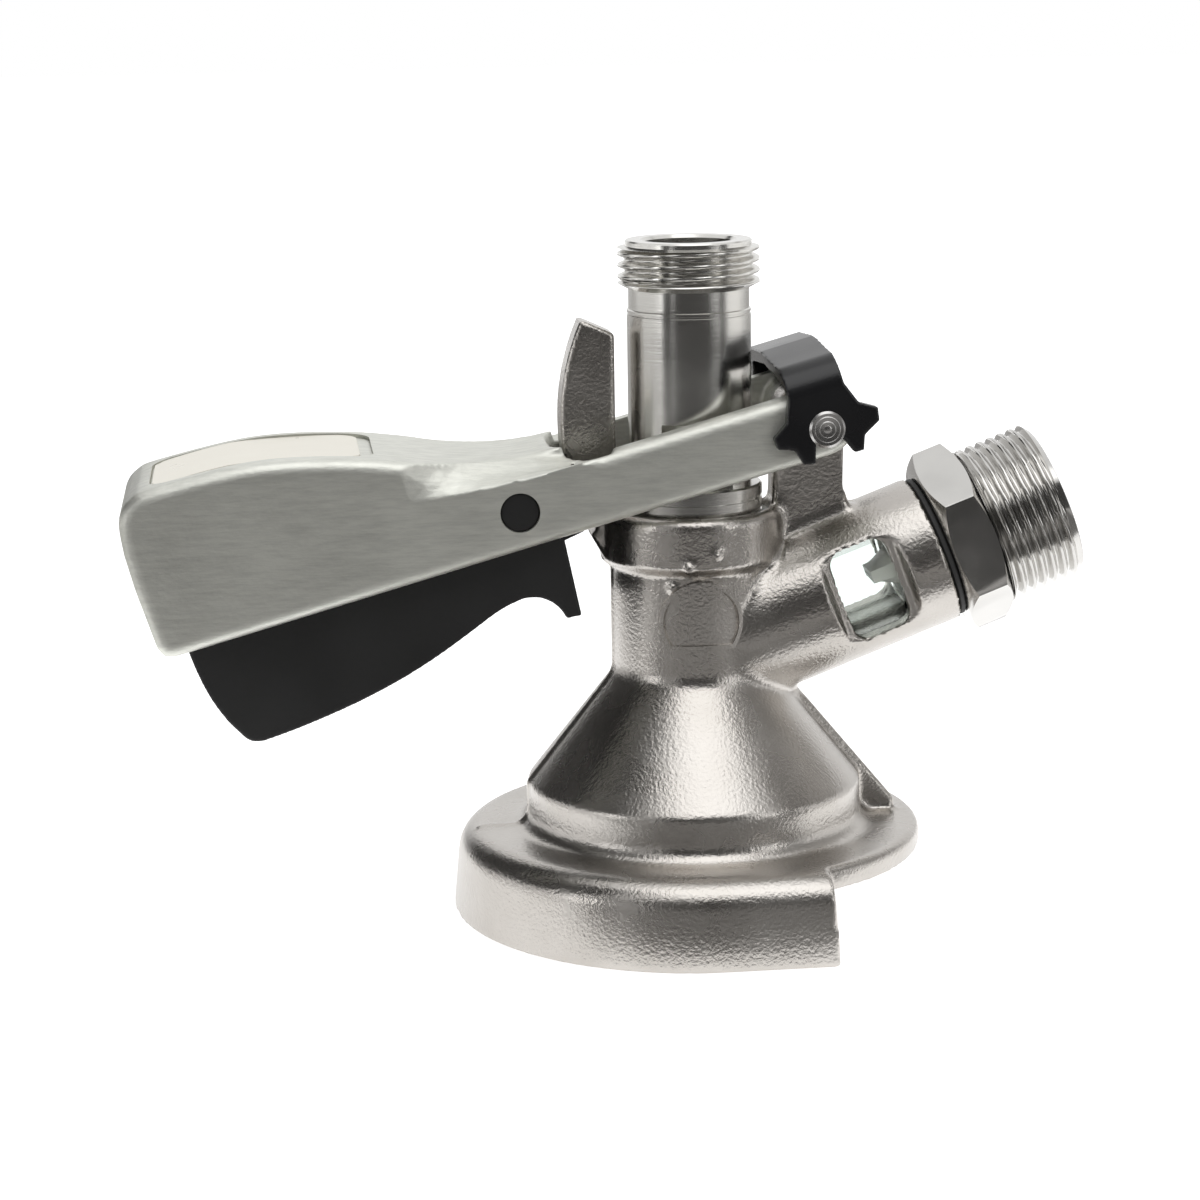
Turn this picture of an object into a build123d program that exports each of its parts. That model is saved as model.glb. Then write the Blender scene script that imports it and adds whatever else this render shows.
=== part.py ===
from build123d import *
import os
from math import asin, cos, radians, sin, sqrt, tan

os.makedirs("parts", exist_ok=True)

# Keg coupler of the flat, slide-on kind, in millimetres.
# Z runs up the probe, X points along the gas branch, the handle points to -X.
# The origin is on the probe axis, in the plane that the slide shoe stands on.

# Slide shoe and bell of the cast housing
shoe_radius = 39.9
shoe_height = 15.4
shoe_round = 2.4
leg_reach = 17.4
leg_corner = 1.6
lip_height = 4.2
lip_radius = 31.5
slot_radius = 35.0
ceiling_height = 10.5
disc_radius = 37.3
disc_edge = 3.6
disc_slope = 1.7
band_radius = 27.6
band_foot = 18.3
band_top = 22.7
cone_top = 41.5
neck_radius = 13.4
neck_top = 57.6
collar_radius = 14.6
collar_step = 1.3
collar_top = 66.8
collar_round = 1.5

# Inside of the housing
probe_body_radius = 11.65
running_gap = 0.10
seal_pocket_radius = 19.0
seal_pocket_depth = 2.9
seal_ledge_radius = 15.5
seal_ledge_depth = 2.6
chamber_radius = 22.5
chamber_foot = 18.6
chamber_shoulder = 21.5
chamber_top = 40.0
ring_groove_low = 59.6
ring_groove_height = 2.0
ring_groove_radius = 13.15
bush_seat_low = 63.4
bush_seat_radius = 12.75
gas_port_radius = 3.0

# Lever pivot and the way the lever lies in the closed position
pivot_x = 19.2
pivot_z = 81.3
lever_slope = 15.3
lever_rise = 50.0
post_half_width = 6.3
post_half_depth = 10.5
post_foot_flare = 2.4

# Horn that locks the trigger, round about the pivot
horn_reach = 40.6
horn_half_depth = 4.4
horn_back = 12.5
horn_top_angle = 24.1
horn_foot_z = 63.0
horn_notch_depth = 1.3
horn_round = 0.9

# Gas branch, measured along its own sloping axis
branch_slope = 20.6
branch_height = 43.1
branch_radius = 12.6
branch_end = 44.0
branch_start = 6.0
branch_bore_radius = 9.35
branch_shoulder = 21.0
branch_port_radius = 5.0
window_start = 26.0
window_length = 8.4
window_half_height = 6.8
window_corner = 2.0
pocket_start = 24.6
pocket_length = 11.6
pocket_half_height = 9.4
pocket_floor = 9.9
pocket_corner = 2.6
rib_thickness = 2.6
rib_foot_x = 34.2

# Bare raised pad on the front of the neck
pad_radius = 6.7
pad_flat = 4.3
pad_height_z = 50.4
pad_turn = 7.0
pad_proud = 0.75
pad_rim = 0.8
pad_floor_drop = 0.45

# Gas fitting with its G 3/4 thread
hex_flats = 27.0
hex_length = 5.3
hex_turn = -3.9
washer_thickness = 1.2
gas_thread_radius = 13.22
gas_thread_length = 13.2
gas_bore_radius = 8.2
spigot_gap = 0.05
gas_thread_chamfer = 0.9

# Sight glass and its two face seals
glass_gap = 0.10
glass_bore_radius = 6.6
glass_seal_thickness = 1.6
glass_length = 12.8

# Lip valve in the gas fitting
lip_flange_radius = 6.4
lip_flange_thickness = 1.4
lip_body_radius = 4.2
lip_length = 5.6
lip_edge = 1.0
lip_slit = 0.3

# Probe
probe_tip_z = 1.0
stem_radius = 8.2
body_low = 38.0
tube_radius = 10.0
tube_top = 99.1
relief_radius = 9.75
relief_length = 3.2
beer_thread_radius = 11.455
probe_top = 110.1
top_chamfer = 1.2
beer_bore_radius = 5.0
socket_radius = 7.24
socket_depth = 18.0
flat_depth = 1.8
mark_groove_depth = 0.25
mark_groove_width = 0.5

# Check ball in the foot of the probe
ball_radius = 4.76
ball_chamber_radius = 6.6
ball_chamber_top = 24.0
tip_flange = 3.0
tip_plug = 4.0
tip_bore_radius = 3.4
ball_lift = 2.8
cage_gap = 0.05
cage_wall = 1.4
cage_spoke = 1.4

# Lever
lever_half_width = 16.0
arm_thickness = 4.0
arm_low = 4.9
arm_high = 6.1
handle_end = 110.9
web_thickness = 2.6
end_wall = 2.9
fork_root = 43.0
fork_round = 8.5
handle_round = 2.0
lug_arm = 19.9
lug_radius = 4.7
lug_gap = 0.55
lug_face_gap = 0.4
valley_start = 68.0
valley_middle = 52.0
valley_end = 37.5
ridge_end = 37.5

# Label field on the handle
label_start = 71.2
label_length = 32.4
label_half_width = 11.4
label_corner = 3.2
label_thickness = 0.45
label_recess = 0.6
label_margin = 0.45
label_lap = 1.6

# Pins
pin_radius = 3.0
pin_neck_radius = 2.15
pin_hole_gap = 0.05
pin_proud = 0.4
trigger_pin_arm = 49.9
trigger_pin_rise = 1.2
trigger_pin_radius = 3.1
trigger_pin_sink = 0.5

# Clip over the lever end
clip_start = 4.6
clip_width = 9.1
clip_crown = 11.9
clip_shoulder = 5.7
clip_wall = 2.2
clip_corner = 7.0
clip_rib = 0.5

# Trigger
trigger_half_width = 11.2
trigger_wall = 3.3
trigger_boss_radius = 4.6
trigger_floor = 3.0
hook_half_width = 3.9
hook_gap = 0.2
hook_high = 4.0
hook_low = 7.2

# Leg spring on the trigger pin
spring_wire = 0.9
spring_coil_radius = 4.3
spring_turns = 3.5
spring_half_width = 3.4
spring_leg = 11.0

# Places that follow from the sizes above
bore_radius = probe_body_radius + running_gap
closed_angle = radians(lever_slope)
branch_angle = radians(branch_slope)
lug_z = pivot_z - lug_arm * sin(closed_angle)
slot_low = lug_z - lug_radius - lug_gap
slot_high = lug_z + lug_radius + lug_gap
arm_inner = lever_half_width - arm_thickness
pivot_point = (pivot_x, 0, pivot_z)
lever_along = (cos(closed_angle), 0, sin(closed_angle))
lever_normal = (-sin(closed_angle), 0, cos(closed_angle))
branch_along = (cos(branch_angle), 0, sin(branch_angle))
branch_up = (-sin(branch_angle), 0, cos(branch_angle))
disc_top = ceiling_height + disc_edge
hex_start = branch_end + washer_thickness
gas_thread_start = hex_start + hex_length
gas_end = gas_thread_start + gas_thread_length
glass_start = branch_shoulder + glass_seal_thickness
glass_end = glass_start + glass_length
spigot_start = glass_end + glass_seal_thickness
ball_seat_z = probe_tip_z + tip_flange + tip_plug
ball_z = ball_seat_z + sqrt(ball_radius**2 - tip_bore_radius**2) + running_gap
cage_low = ball_z + ball_radius + ball_lift + running_gap


def lever_side(drop=0.0):
    """Side plane of the lever: x along the arms from the pivot, y square to them."""
    origin = (
        pivot_x + drop * sin(closed_angle),
        0,
        pivot_z - drop * cos(closed_angle),
    )
    return Plane(origin=origin, x_dir=lever_along, z_dir=(0, -1, 0))


def lever_plan(height=0.0):
    """Plan plane of the lever: x along the arms, y across them."""
    origin = (
        pivot_x - height * sin(closed_angle),
        0,
        pivot_z + height * cos(closed_angle),
    )
    return Plane(origin=origin, x_dir=lever_along, z_dir=lever_normal)


def lever_cross(reach):
    """Plane square to the arms at a distance from the pivot: x across, y up."""
    origin = (
        pivot_x - reach * cos(closed_angle),
        0,
        pivot_z - reach * sin(closed_angle),
    )
    return Plane(origin=origin, x_dir=(0, 1, 0), z_dir=lever_along)


def branch_cross(station):
    """Plane square to the gas branch: x across, y up the slope's normal."""
    origin = (
        station * cos(branch_angle),
        0,
        branch_height + station * sin(branch_angle),
    )
    return Plane(origin=origin, x_dir=(0, 1, 0), z_dir=branch_along)


branch_side = Plane(origin=(0, 0, branch_height), x_dir=branch_along, z_dir=(0, -1, 0))
branch_axis = Axis((0, 0, branch_height), branch_along)


def handle_profile():
    """Side outline of the whole lever, in the lever's side plane."""
    top = Spline(
        (-ridge_end, 8.0),
        (-47.5, 8.6),
        (-58.1, 11.4),
        (-72.0, 16.8),
        (-87.2, 20.7),
        (-103.2, 21.7),
        tangents=[(-1, 0.05), (-1, 0)],
    )
    nose = ThreePointArc(top @ 1, (-109.0, 19.8), (-handle_end + 0.3, 15.0))
    back = ThreePointArc(nose @ 1, (-handle_end, 6.0), (-handle_end + 0.5, -2.9))
    heel = ThreePointArc(back @ 1, (-109.7, -4.3), (-108.3, -arm_low))
    sole = Line(heel @ 1, (0, -arm_low))
    tip_middle = (arm_high - arm_low) / 2
    tip = ThreePointArc(sole @ 1, ((arm_high + arm_low) / 2, tip_middle), (0, arm_high))
    arm_top = Line(tip @ 1, (-ridge_end + 2.5, arm_high))
    Line(arm_top @ 1, top @ 0)


# Cast housing: slide shoe, bell, neck, collar, horn, post and gas branch in one piece
with BuildPart() as housing:
    # shoe with its two straight legs, open towards +X
    with BuildSketch(Plane.XY) as shoe_outline:
        Circle(shoe_radius)
        with Locations((leg_reach / 2, 0)):
            Rectangle(leg_reach, 2 * shoe_radius)
        with Locations((leg_reach - shoe_radius, 0)):
            Rectangle(2 * shoe_radius, 2 * shoe_radius, mode=Mode.INTERSECT)
        fillet(shoe_outline.vertices().group_by(Axis.X)[-1], leg_corner)
    extrude(amount=shoe_height)
    fillet(housing.faces().sort_by(Axis.Z)[-1].edges(), shoe_round)

    # bell turned about the probe axis
    with BuildSketch(Plane.XZ) as bell_outline:
        with BuildLine():
            Polyline(
                (0, ceiling_height),
                (disc_radius, ceiling_height),
                (disc_radius, disc_top),
                (band_radius + 2.6, disc_top + disc_slope),
                (band_radius, band_foot),
                (band_radius, band_top),
                (neck_radius, cone_top),
                (neck_radius, neck_top),
                (collar_radius, neck_top + collar_step),
                (collar_radius, collar_top),
                (0, collar_top),
                close=True,
            )
        make_face()
        fillet(bell_outline.vertices().sort_by_distance((disc_radius, disc_top))[0], 1.6)
        foot_corner = (band_radius + 2.6, disc_top + disc_slope)
        fillet(bell_outline.vertices().sort_by_distance(foot_corner)[0], 3.0)
        fillet(bell_outline.vertices().sort_by_distance((band_radius, band_foot))[0], 1.0)
        fillet(bell_outline.vertices().sort_by_distance((band_radius, band_top))[0], 2.4)
        fillet(bell_outline.vertices().sort_by_distance((neck_radius, cone_top))[0], 2.0)
        rim_corner = (collar_radius, collar_top)
        fillet(bell_outline.vertices().sort_by_distance(rim_corner)[0], collar_round)
    revolve(axis=Axis.Z)

    # horn, its outer edge an arc about the pivot
    with BuildSketch(Plane.XZ):
        with BuildLine():
            top_angle = radians(180 - horn_top_angle)
            foot_angle = radians(180) + asin((pivot_z - horn_foot_z) / horn_reach)
            middle_angle = (top_angle + foot_angle) / 2
            horn_points = [
                (pivot_x + horn_reach * cos(a), pivot_z + horn_reach * sin(a))
                for a in (top_angle, middle_angle, foot_angle)
            ]
            outer_edge = ThreePointArc(*horn_points)
            back_top = pivot_z + (pivot_x + horn_back) * tan(radians(horn_top_angle))
            Polyline(
                outer_edge @ 1,
                (-neck_radius - 0.8, neck_top),
                (-horn_back, neck_top),
                (-horn_back, back_top),
                outer_edge @ 0,
            )
        make_face()
    extrude(amount=horn_half_depth, both=True)

    # post that carries the lever pivot
    with BuildSketch(Plane.XZ):
        with Locations((pivot_x, pivot_z)):
            Circle(post_half_width)
        with BuildLine():
            Polyline(
                (pivot_x - post_half_width, pivot_z),
                (pivot_x - post_half_width, neck_top),
                (pivot_x + post_half_width + post_foot_flare, neck_top),
                (pivot_x + post_half_width + post_foot_flare, collar_top - 1),
                (pivot_x + post_half_width, collar_top + 3.5),
                (pivot_x + post_half_width, pivot_z),
                close=True,
            )
        make_face()
    extrude(amount=post_half_depth, both=True)

    # thin rib under the gas branch
    with BuildSketch(Plane.XZ):
        with BuildLine():
            Polyline(
                (neck_radius - 1, cone_top),
                (neck_radius + 6, branch_height - 6.0),
                (rib_foot_x, disc_top + 1.0),
                (rib_foot_x - 0.6, ceiling_height + 1),
                (band_radius - 6, ceiling_height + 1),
                (neck_radius - 1, cone_top - 8),
                close=True,
            )
        make_face()
    extrude(amount=rib_thickness / 2, both=True)

    # gas branch
    with BuildSketch(branch_cross(branch_start)):
        Circle(branch_radius)
    extrude(amount=branch_end - branch_start)

    # raised pad on the neck, left bare
    pad_plane = Plane(
        origin=(
            (neck_radius + pad_proud) * sin(radians(pad_turn)),
            -(neck_radius + pad_proud) * cos(radians(pad_turn)),
            pad_height_z,
        ),
        x_dir=(cos(radians(pad_turn)), sin(radians(pad_turn)), 0),
        z_dir=(sin(radians(pad_turn)), -cos(radians(pad_turn)), 0),
    )
    with BuildSketch(pad_plane):
        Circle(pad_radius)
        with Locations((0, -pad_flat - pad_radius)):
            Rectangle(3 * pad_radius, 2 * pad_radius, mode=Mode.SUBTRACT)
    extrude(amount=-4.2)
    with BuildSketch(pad_plane):
        Circle(pad_radius - pad_rim)
        with Locations((0, -pad_flat + pad_rim - pad_radius)):
            Rectangle(3 * pad_radius, 2 * pad_radius, mode=Mode.SUBTRACT)
    extrude(amount=-pad_floor_drop, mode=Mode.SUBTRACT)

    # inside of the shoe: the keg's flange slides in along X over the two lips
    with BuildSketch(Plane.XY.offset(lip_height)):
        Circle(slot_radius)
        with Locations((shoe_radius, 0)):
            Rectangle(2 * shoe_radius, 2 * slot_radius)
    extrude(amount=ceiling_height - lip_height, mode=Mode.SUBTRACT)
    with BuildSketch(Plane.XY):
        Circle(lip_radius)
        with Locations((shoe_radius, 0)):
            Rectangle(2 * shoe_radius, 2 * lip_radius)
    extrude(amount=lip_height, mode=Mode.SUBTRACT)

    # seal pocket, gas chamber, probe bore, ring groove and bush seat
    with BuildSketch(Plane.XZ):
        with BuildLine():
            Polyline(
                (0, ceiling_height),
                (seal_pocket_radius, ceiling_height),
                (seal_pocket_radius, ceiling_height + seal_pocket_depth),
                (seal_ledge_radius, ceiling_height + seal_pocket_depth),
                (seal_ledge_radius, ceiling_height + seal_pocket_depth + seal_ledge_depth),
                (chamber_radius, chamber_foot),
                (chamber_radius, chamber_shoulder),
                (bore_radius, chamber_top),
                (bore_radius, ring_groove_low),
                (ring_groove_radius, ring_groove_low),
                (ring_groove_radius, ring_groove_low + ring_groove_height),
                (bore_radius, ring_groove_low + ring_groove_height),
                (bore_radius, bush_seat_low),
                (bush_seat_radius, bush_seat_low),
                (bush_seat_radius, collar_top),
                (0, collar_top),
                close=True,
            )
        make_face()
    revolve(axis=Axis.Z, mode=Mode.SUBTRACT)

    # running room for the probe above the collar, through post and horn
    with BuildSketch(Plane.XY.offset(collar_top)):
        Circle(bush_seat_radius - 0.3)
    extrude(amount=probe_top - collar_top, mode=Mode.SUBTRACT)

    # bore of the gas branch and the port from it down into the gas chamber
    with BuildSketch(branch_cross(branch_shoulder)):
        Circle(branch_bore_radius)
    extrude(amount=branch_end - branch_shoulder, mode=Mode.SUBTRACT)
    with BuildSketch(branch_cross(branch_shoulder)):
        Circle(branch_port_radius)
    extrude(amount=-3.0, mode=Mode.SUBTRACT)
    port_top = (
        (branch_shoulder - 1.5) * cos(branch_angle),
        0,
        branch_height + (branch_shoulder - 1.5) * sin(branch_angle),
    )
    port_low = (bore_radius + 1.3, 0, chamber_top - 6.0)
    port_run = tuple(low - top for low, top in zip(port_low, port_top))
    port_length = sqrt(sum(step**2 for step in port_run))
    with BuildSketch(Plane(origin=port_top, z_dir=port_run)):
        Circle(gas_port_radius)
    extrude(amount=port_length, mode=Mode.SUBTRACT)

    # flat pockets on both sides of the branch, each with a window through the wall
    for side in (1, -1):
        pocket_plane = Plane(
            origin=(0, side * pocket_floor, branch_height),
            x_dir=branch_along,
            z_dir=(0, side, 0),
        )
        with BuildSketch(pocket_plane):
            with Locations((pocket_start + pocket_length / 2, 0)):
                RectangleRounded(pocket_length, 2 * pocket_half_height, pocket_corner)
        extrude(amount=branch_radius, mode=Mode.SUBTRACT)
        with BuildSketch(pocket_plane):
            with Locations((window_start + window_length / 2, 0)):
                RectangleRounded(window_length, 2 * window_half_height, window_corner)
        extrude(amount=-pocket_floor, mode=Mode.SUBTRACT)

    # pivot hole in the post
    with BuildSketch(Plane.XZ):
        with Locations((pivot_x, pivot_z)):
            Circle(pin_radius + running_gap)
    extrude(amount=post_half_depth, both=True, mode=Mode.SUBTRACT)

    # catch in the horn for the trigger hook, an arc band about the pivot
    with BuildSketch(Plane.XZ):
        with BuildLine():
            notch_high = radians(180 + lever_slope + 3.6)
            notch_low = radians(180 + lever_slope + 11.3)
            notch_floor = horn_reach - horn_notch_depth
            notch_mouth = horn_reach + 1.0
            Polyline(
                (pivot_x + notch_mouth * cos(notch_high), pivot_z + notch_mouth * sin(notch_high)),
                (pivot_x + notch_floor * cos(notch_high), pivot_z + notch_floor * sin(notch_high)),
                (pivot_x + notch_floor * cos(notch_low), pivot_z + notch_floor * sin(notch_low)),
                (pivot_x + notch_mouth * cos(notch_low), pivot_z + notch_mouth * sin(notch_low)),
                close=True,
            )
        make_face()
    extrude(amount=horn_half_depth, both=True, mode=Mode.SUBTRACT)
housing.part.label = "housing"
export_step(housing.part, "parts/housing.step")

# Rubber ring that seals on the keg valve
with BuildPart() as keg_seal:
    seal_low = ceiling_height - 0.9
    seal_high = ceiling_height + seal_pocket_depth
    seal_inner = stem_radius + 2.2
    with BuildSketch(Plane.XZ):
        with BuildLine():
            Polyline(
                (seal_inner, seal_low + 0.8),
                (seal_inner + 0.8, seal_low),
                (seal_pocket_radius - 3.0, seal_low),
                (seal_pocket_radius - running_gap, ceiling_height + 0.4),
                (seal_pocket_radius - running_gap, seal_high),
                (seal_inner, seal_high),
                close=True,
            )
        make_face()
    revolve(axis=Axis.Z)
keg_seal.part.label = "keg_seal"
export_step(keg_seal.part, "parts/keg_seal.step")

# Round ring in the collar that seals on the moving probe
with BuildPart() as neck_ring:
    ring_section = (ring_groove_radius - probe_body_radius) / 2 - 0.04
    ring_middle = (ring_groove_radius + probe_body_radius) / 2
    with BuildSketch(Plane.XZ):
        with Locations((ring_middle, ring_groove_low + ring_groove_height / 2)):
            Circle(ring_section)
    revolve(axis=Axis.Z)
neck_ring.part.label = "neck_ring"
export_step(neck_ring.part, "parts/neck_ring.step")

# Plastic bush at the mouth of the collar that guides the probe
with BuildPart() as guide_bush:
    bush_high = collar_top - 0.9
    with BuildSketch(Plane.XY.offset(bush_seat_low)):
        Circle(bush_seat_radius - cage_gap)
        Circle(probe_body_radius + running_gap / 2, mode=Mode.SUBTRACT)
    extrude(amount=bush_high - bush_seat_low)
guide_bush.part.label = "guide_bush"
export_step(guide_bush.part, "parts/guide_bush.step")

# Gas fitting: spigot, hexagon and threaded end; the thread turns are plain here
with BuildPart() as gas_fitting:
    with BuildSketch(branch_cross(spigot_start)):
        Circle(branch_bore_radius - spigot_gap)
    extrude(amount=hex_start - spigot_start)
    with BuildSketch(branch_cross(hex_start)):
        RegularPolygon(hex_flats / 2, 6, major_radius=False, rotation=hex_turn + 30)
    extrude(amount=hex_length)
    # corners of the hexagon turned off at both faces
    hex_corner = hex_flats / sqrt(3)
    corner_cut = (hex_corner - hex_flats / 2) * tan(radians(30))
    with BuildSketch(branch_side):
        with BuildLine():
            Polyline(
                (spigot_start, 0),
                (spigot_start, hex_flats / 2),
                (hex_start, hex_flats / 2),
                (hex_start + corner_cut, hex_corner),
                (gas_thread_start - corner_cut, hex_corner),
                (gas_thread_start, hex_flats / 2),
                (gas_thread_start, 0),
                close=True,
            )
        make_face()
    revolve(axis=branch_axis, mode=Mode.INTERSECT)
    with BuildSketch(branch_cross(gas_thread_start)):
        Circle(gas_thread_radius)
    extrude(amount=gas_thread_length)
    chamfer(
        gas_fitting.faces().sort_by(branch_axis)[-1].edges(), gas_thread_chamfer
    )
    # bore with a step that holds the lip valve
    with BuildSketch(branch_cross(spigot_start)):
        Circle(lip_flange_radius + cage_gap)
    extrude(amount=lip_flange_thickness, mode=Mode.SUBTRACT)
    with BuildSketch(branch_cross(spigot_start)):
        Circle(lip_flange_radius - 1.2)
    extrude(amount=hex_start - spigot_start, mode=Mode.SUBTRACT)
    with BuildSketch(branch_cross(hex_start)):
        Circle(gas_bore_radius)
    extrude(amount=gas_end - hex_start, mode=Mode.SUBTRACT)
gas_fitting.part.label = "gas_fitting"
export_step(gas_fitting.part, "parts/gas_fitting.step")

# Flat washer between hexagon and branch
with BuildPart() as gas_washer:
    with BuildSketch(branch_cross(branch_end)):
        Circle(branch_radius - 0.8)
        Circle(branch_bore_radius + running_gap, mode=Mode.SUBTRACT)
    extrude(amount=washer_thickness)
gas_washer.part.label = "gas_washer"
export_step(gas_washer.part, "parts/gas_washer.step")

# Clear tube behind the two windows, its inner edges broken
with BuildPart() as sight_glass:
    with BuildSketch(branch_cross(glass_start)):
        Circle(branch_bore_radius - glass_gap)
        Circle(glass_bore_radius, mode=Mode.SUBTRACT)
    extrude(amount=glass_length)
    chamfer(sight_glass.edges().filter_by(GeomType.CIRCLE), 0.4)
sight_glass.part.label = "sight_glass"
export_step(sight_glass.part, "parts/sight_glass.step")

# Two flat rings that seal the ends of the sight glass
with BuildPart() as glass_seals:
    for seal_station in (branch_shoulder, glass_end):
        with BuildSketch(branch_cross(seal_station)):
            Circle(branch_bore_radius - glass_gap)
            Circle(glass_bore_radius, mode=Mode.SUBTRACT)
        extrude(amount=glass_seal_thickness)
glass_seals.part.label = "glass_seals"
export_step(glass_seals.part, "parts/glass_seals.step")

# Lip valve: lets gas in and shuts against beer, a flange with two meeting lips
with BuildPart() as lip_valve:
    with BuildSketch(branch_cross(spigot_start)):
        Circle(lip_flange_radius)
    extrude(amount=lip_flange_thickness)
    lip_root = spigot_start
    with BuildSketch(branch_cross(lip_root)):
        Circle(lip_body_radius)
    with BuildSketch(branch_cross(lip_root - lip_length)):
        Rectangle(2 * lip_body_radius * 0.8, 2 * lip_edge)
    loft()
    with BuildSketch(branch_cross(spigot_start + lip_flange_thickness)):
        Circle(lip_body_radius - lip_edge)
    with BuildSketch(branch_cross(lip_root - lip_length + 0.6)):
        Rectangle(2 * lip_body_radius * 0.6, lip_slit)
    loft(mode=Mode.SUBTRACT)
    with BuildSketch(branch_cross(lip_root - lip_length)):
        Rectangle(2 * lip_body_radius * 0.6, lip_slit)
    extrude(amount=1.2, mode=Mode.SUBTRACT)
lip_valve.part.label = "lip_valve"
export_step(lip_valve.part, "parts/lip_valve.step")

# Probe: the beer pipe that the lever pushes down into the keg valve
with BuildPart() as probe:
    thread_low = tube_top + relief_length
    with BuildSketch(Plane.XZ) as probe_outline:
        with BuildLine():
            Polyline(
                (ball_chamber_radius, probe_tip_z + tip_flange),
                (stem_radius, probe_tip_z + tip_flange),
                (stem_radius, body_low),
                (probe_body_radius, body_low + 1.2),
                (probe_body_radius, slot_low),
                (tube_radius, slot_low),
                (tube_radius, tube_top),
                (relief_radius, tube_top),
                (relief_radius, thread_low),
                (beer_thread_radius, thread_low + 0.9),
                (beer_thread_radius, probe_top - top_chamfer),
                (beer_thread_radius - top_chamfer, probe_top),
                (socket_radius, probe_top),
                (socket_radius, probe_top - socket_depth),
                (beer_bore_radius, probe_top - socket_depth - 2.0),
                (beer_bore_radius, ball_chamber_top),
                (ball_chamber_radius, ball_chamber_top),
                close=True,
            )
        make_face()
    revolve(axis=Axis.Z)
    # two turned marks under the lever lugs and one under the thread
    for mark_z in (slot_low - 1.9, slot_low - 4.0):
        with BuildSketch(Plane.XY.offset(mark_z)):
            Circle(probe_body_radius + 1)
            Circle(probe_body_radius - mark_groove_depth, mode=Mode.SUBTRACT)
        extrude(amount=-mark_groove_width, mode=Mode.SUBTRACT)
    # milled flats on both sides that the lever lugs work in
    for side in (1, -1):
        with BuildSketch(Plane.XY.offset(slot_low)):
            with Locations((0, side * (tube_radius - flat_depth + tube_radius))):
                Rectangle(2 * tube_radius, 2 * tube_radius)
        extrude(amount=slot_high - slot_low, mode=Mode.SUBTRACT)
probe.part.label = "probe"
export_step(probe.part, "parts/probe.step")

# Rubber tip: seals on the keg valve and seats the check ball
with BuildPart() as tip_seal:
    with BuildSketch(Plane.XZ) as tip_outline:
        with BuildLine():
            Polyline(
                (tip_bore_radius, probe_tip_z),
                (stem_radius - 0.8, probe_tip_z),
                (stem_radius, probe_tip_z + 0.8),
                (stem_radius, probe_tip_z + tip_flange),
                (ball_chamber_radius - cage_gap, probe_tip_z + tip_flange),
                (ball_chamber_radius - cage_gap, ball_seat_z),
                (tip_bore_radius, ball_seat_z),
                close=True,
            )
        make_face()
    revolve(axis=Axis.Z)
tip_seal.part.label = "tip_seal"
export_step(tip_seal.part, "parts/tip_seal.step")

# Cage above the ball: a ring with three spokes that beer passes between
with BuildPart() as ball_cage:
    cage_outer = ball_chamber_radius - cage_gap
    with BuildSketch(Plane.XY.offset(cage_low)):
        Circle(cage_outer)
        Circle(cage_outer - cage_wall, mode=Mode.SUBTRACT)
        with PolarLocations(0, 3):
            with Locations((cage_outer / 2 - 0.2, 0)):
                Rectangle(cage_outer - 0.4, cage_spoke)
    extrude(amount=ball_chamber_top - cage_low)
ball_cage.part.label = "ball_cage"
export_step(ball_cage.part, "parts/ball_cage.step")

# Loose check ball
with BuildPart() as check_ball:
    with Locations((0, 0, ball_z)):
        Sphere(ball_radius)
check_ball.part.label = "check_ball"
export_step(check_ball.part, "parts/check_ball.step")

# Cast lever: hollow handle that forks into two arms round the probe
with BuildPart() as lever:
    with BuildSketch(lever_side()):
        with BuildLine():
            handle_profile()
        make_face()
    extrude(amount=lever_half_width, both=True)
    # soft outer edges all round both sides
    fillet(lever.faces().filter_by(Axis.Y).edges(), handle_round)

    # valleys that run from the handle's crown down to the straight arm edges
    for side in (1, -1):
        sections = (
            (valley_start, 15.9, 15.3, 7.6),
            (valley_middle, 11.9, 9.4, 6.8),
            (valley_end, 8.8, 8.0, arm_high),
        )
        for reach, inner_y, inner_n, outer_n in sections:
            with BuildSketch(lever_cross(reach)):
                with BuildLine():
                    Polyline(
                        (side * lever_half_width, outer_n),
                        (side * inner_y, inner_n),
                        (side * inner_y, 30),
                        (side * (lever_half_width + 3), 30),
                        (side * (lever_half_width + 3), outer_n),
                        close=True,
                    )
                make_face()
        loft(ruled=True, mode=Mode.SUBTRACT)

    # gap between the arms, round at its root
    with BuildSketch(lever_plan(-30)) as fork_outline:
        with Locations((-fork_root / 2 + 10, 0)):
            Rectangle(fork_root + 20, 2 * arm_inner)
        fillet(fork_outline.vertices().group_by(Axis.X)[0], fork_round)
    extrude(amount=60, mode=Mode.SUBTRACT)

    # hollow under the handle that takes the trigger
    with BuildSketch(lever_side()):
        with BuildLine():
            hollow_top = Spline(
                (-fork_root, 8.0 - web_thickness),
                (-47.5, 8.6 - web_thickness),
                (-58.1, 11.0 - web_thickness),
                (-72.0, 16.0 - web_thickness),
                (-87.2, 20.0 - web_thickness),
                (-103.2, 21.0 - web_thickness),
            )
            Polyline(
                hollow_top @ 1,
                (-handle_end + end_wall, 13.0),
                (-handle_end + end_wall, -arm_low - 2),
                (-fork_root, -arm_low - 2),
                hollow_top @ 0,
            )
        make_face()
    extrude(amount=arm_inner, both=True, mode=Mode.SUBTRACT)

    # recess for the label field
    with BuildSketch(lever_plan(-30)):
        with Locations((-label_start - label_length / 2 + label_lap / 2, 0)):
            RectangleRounded(
                label_length + label_lap + 2 * label_margin,
                2 * (label_half_width + label_margin),
                label_corner + label_margin,
            )
    recess_block = extrude(amount=60, mode=Mode.PRIVATE)
lever_body = lever.part

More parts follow.
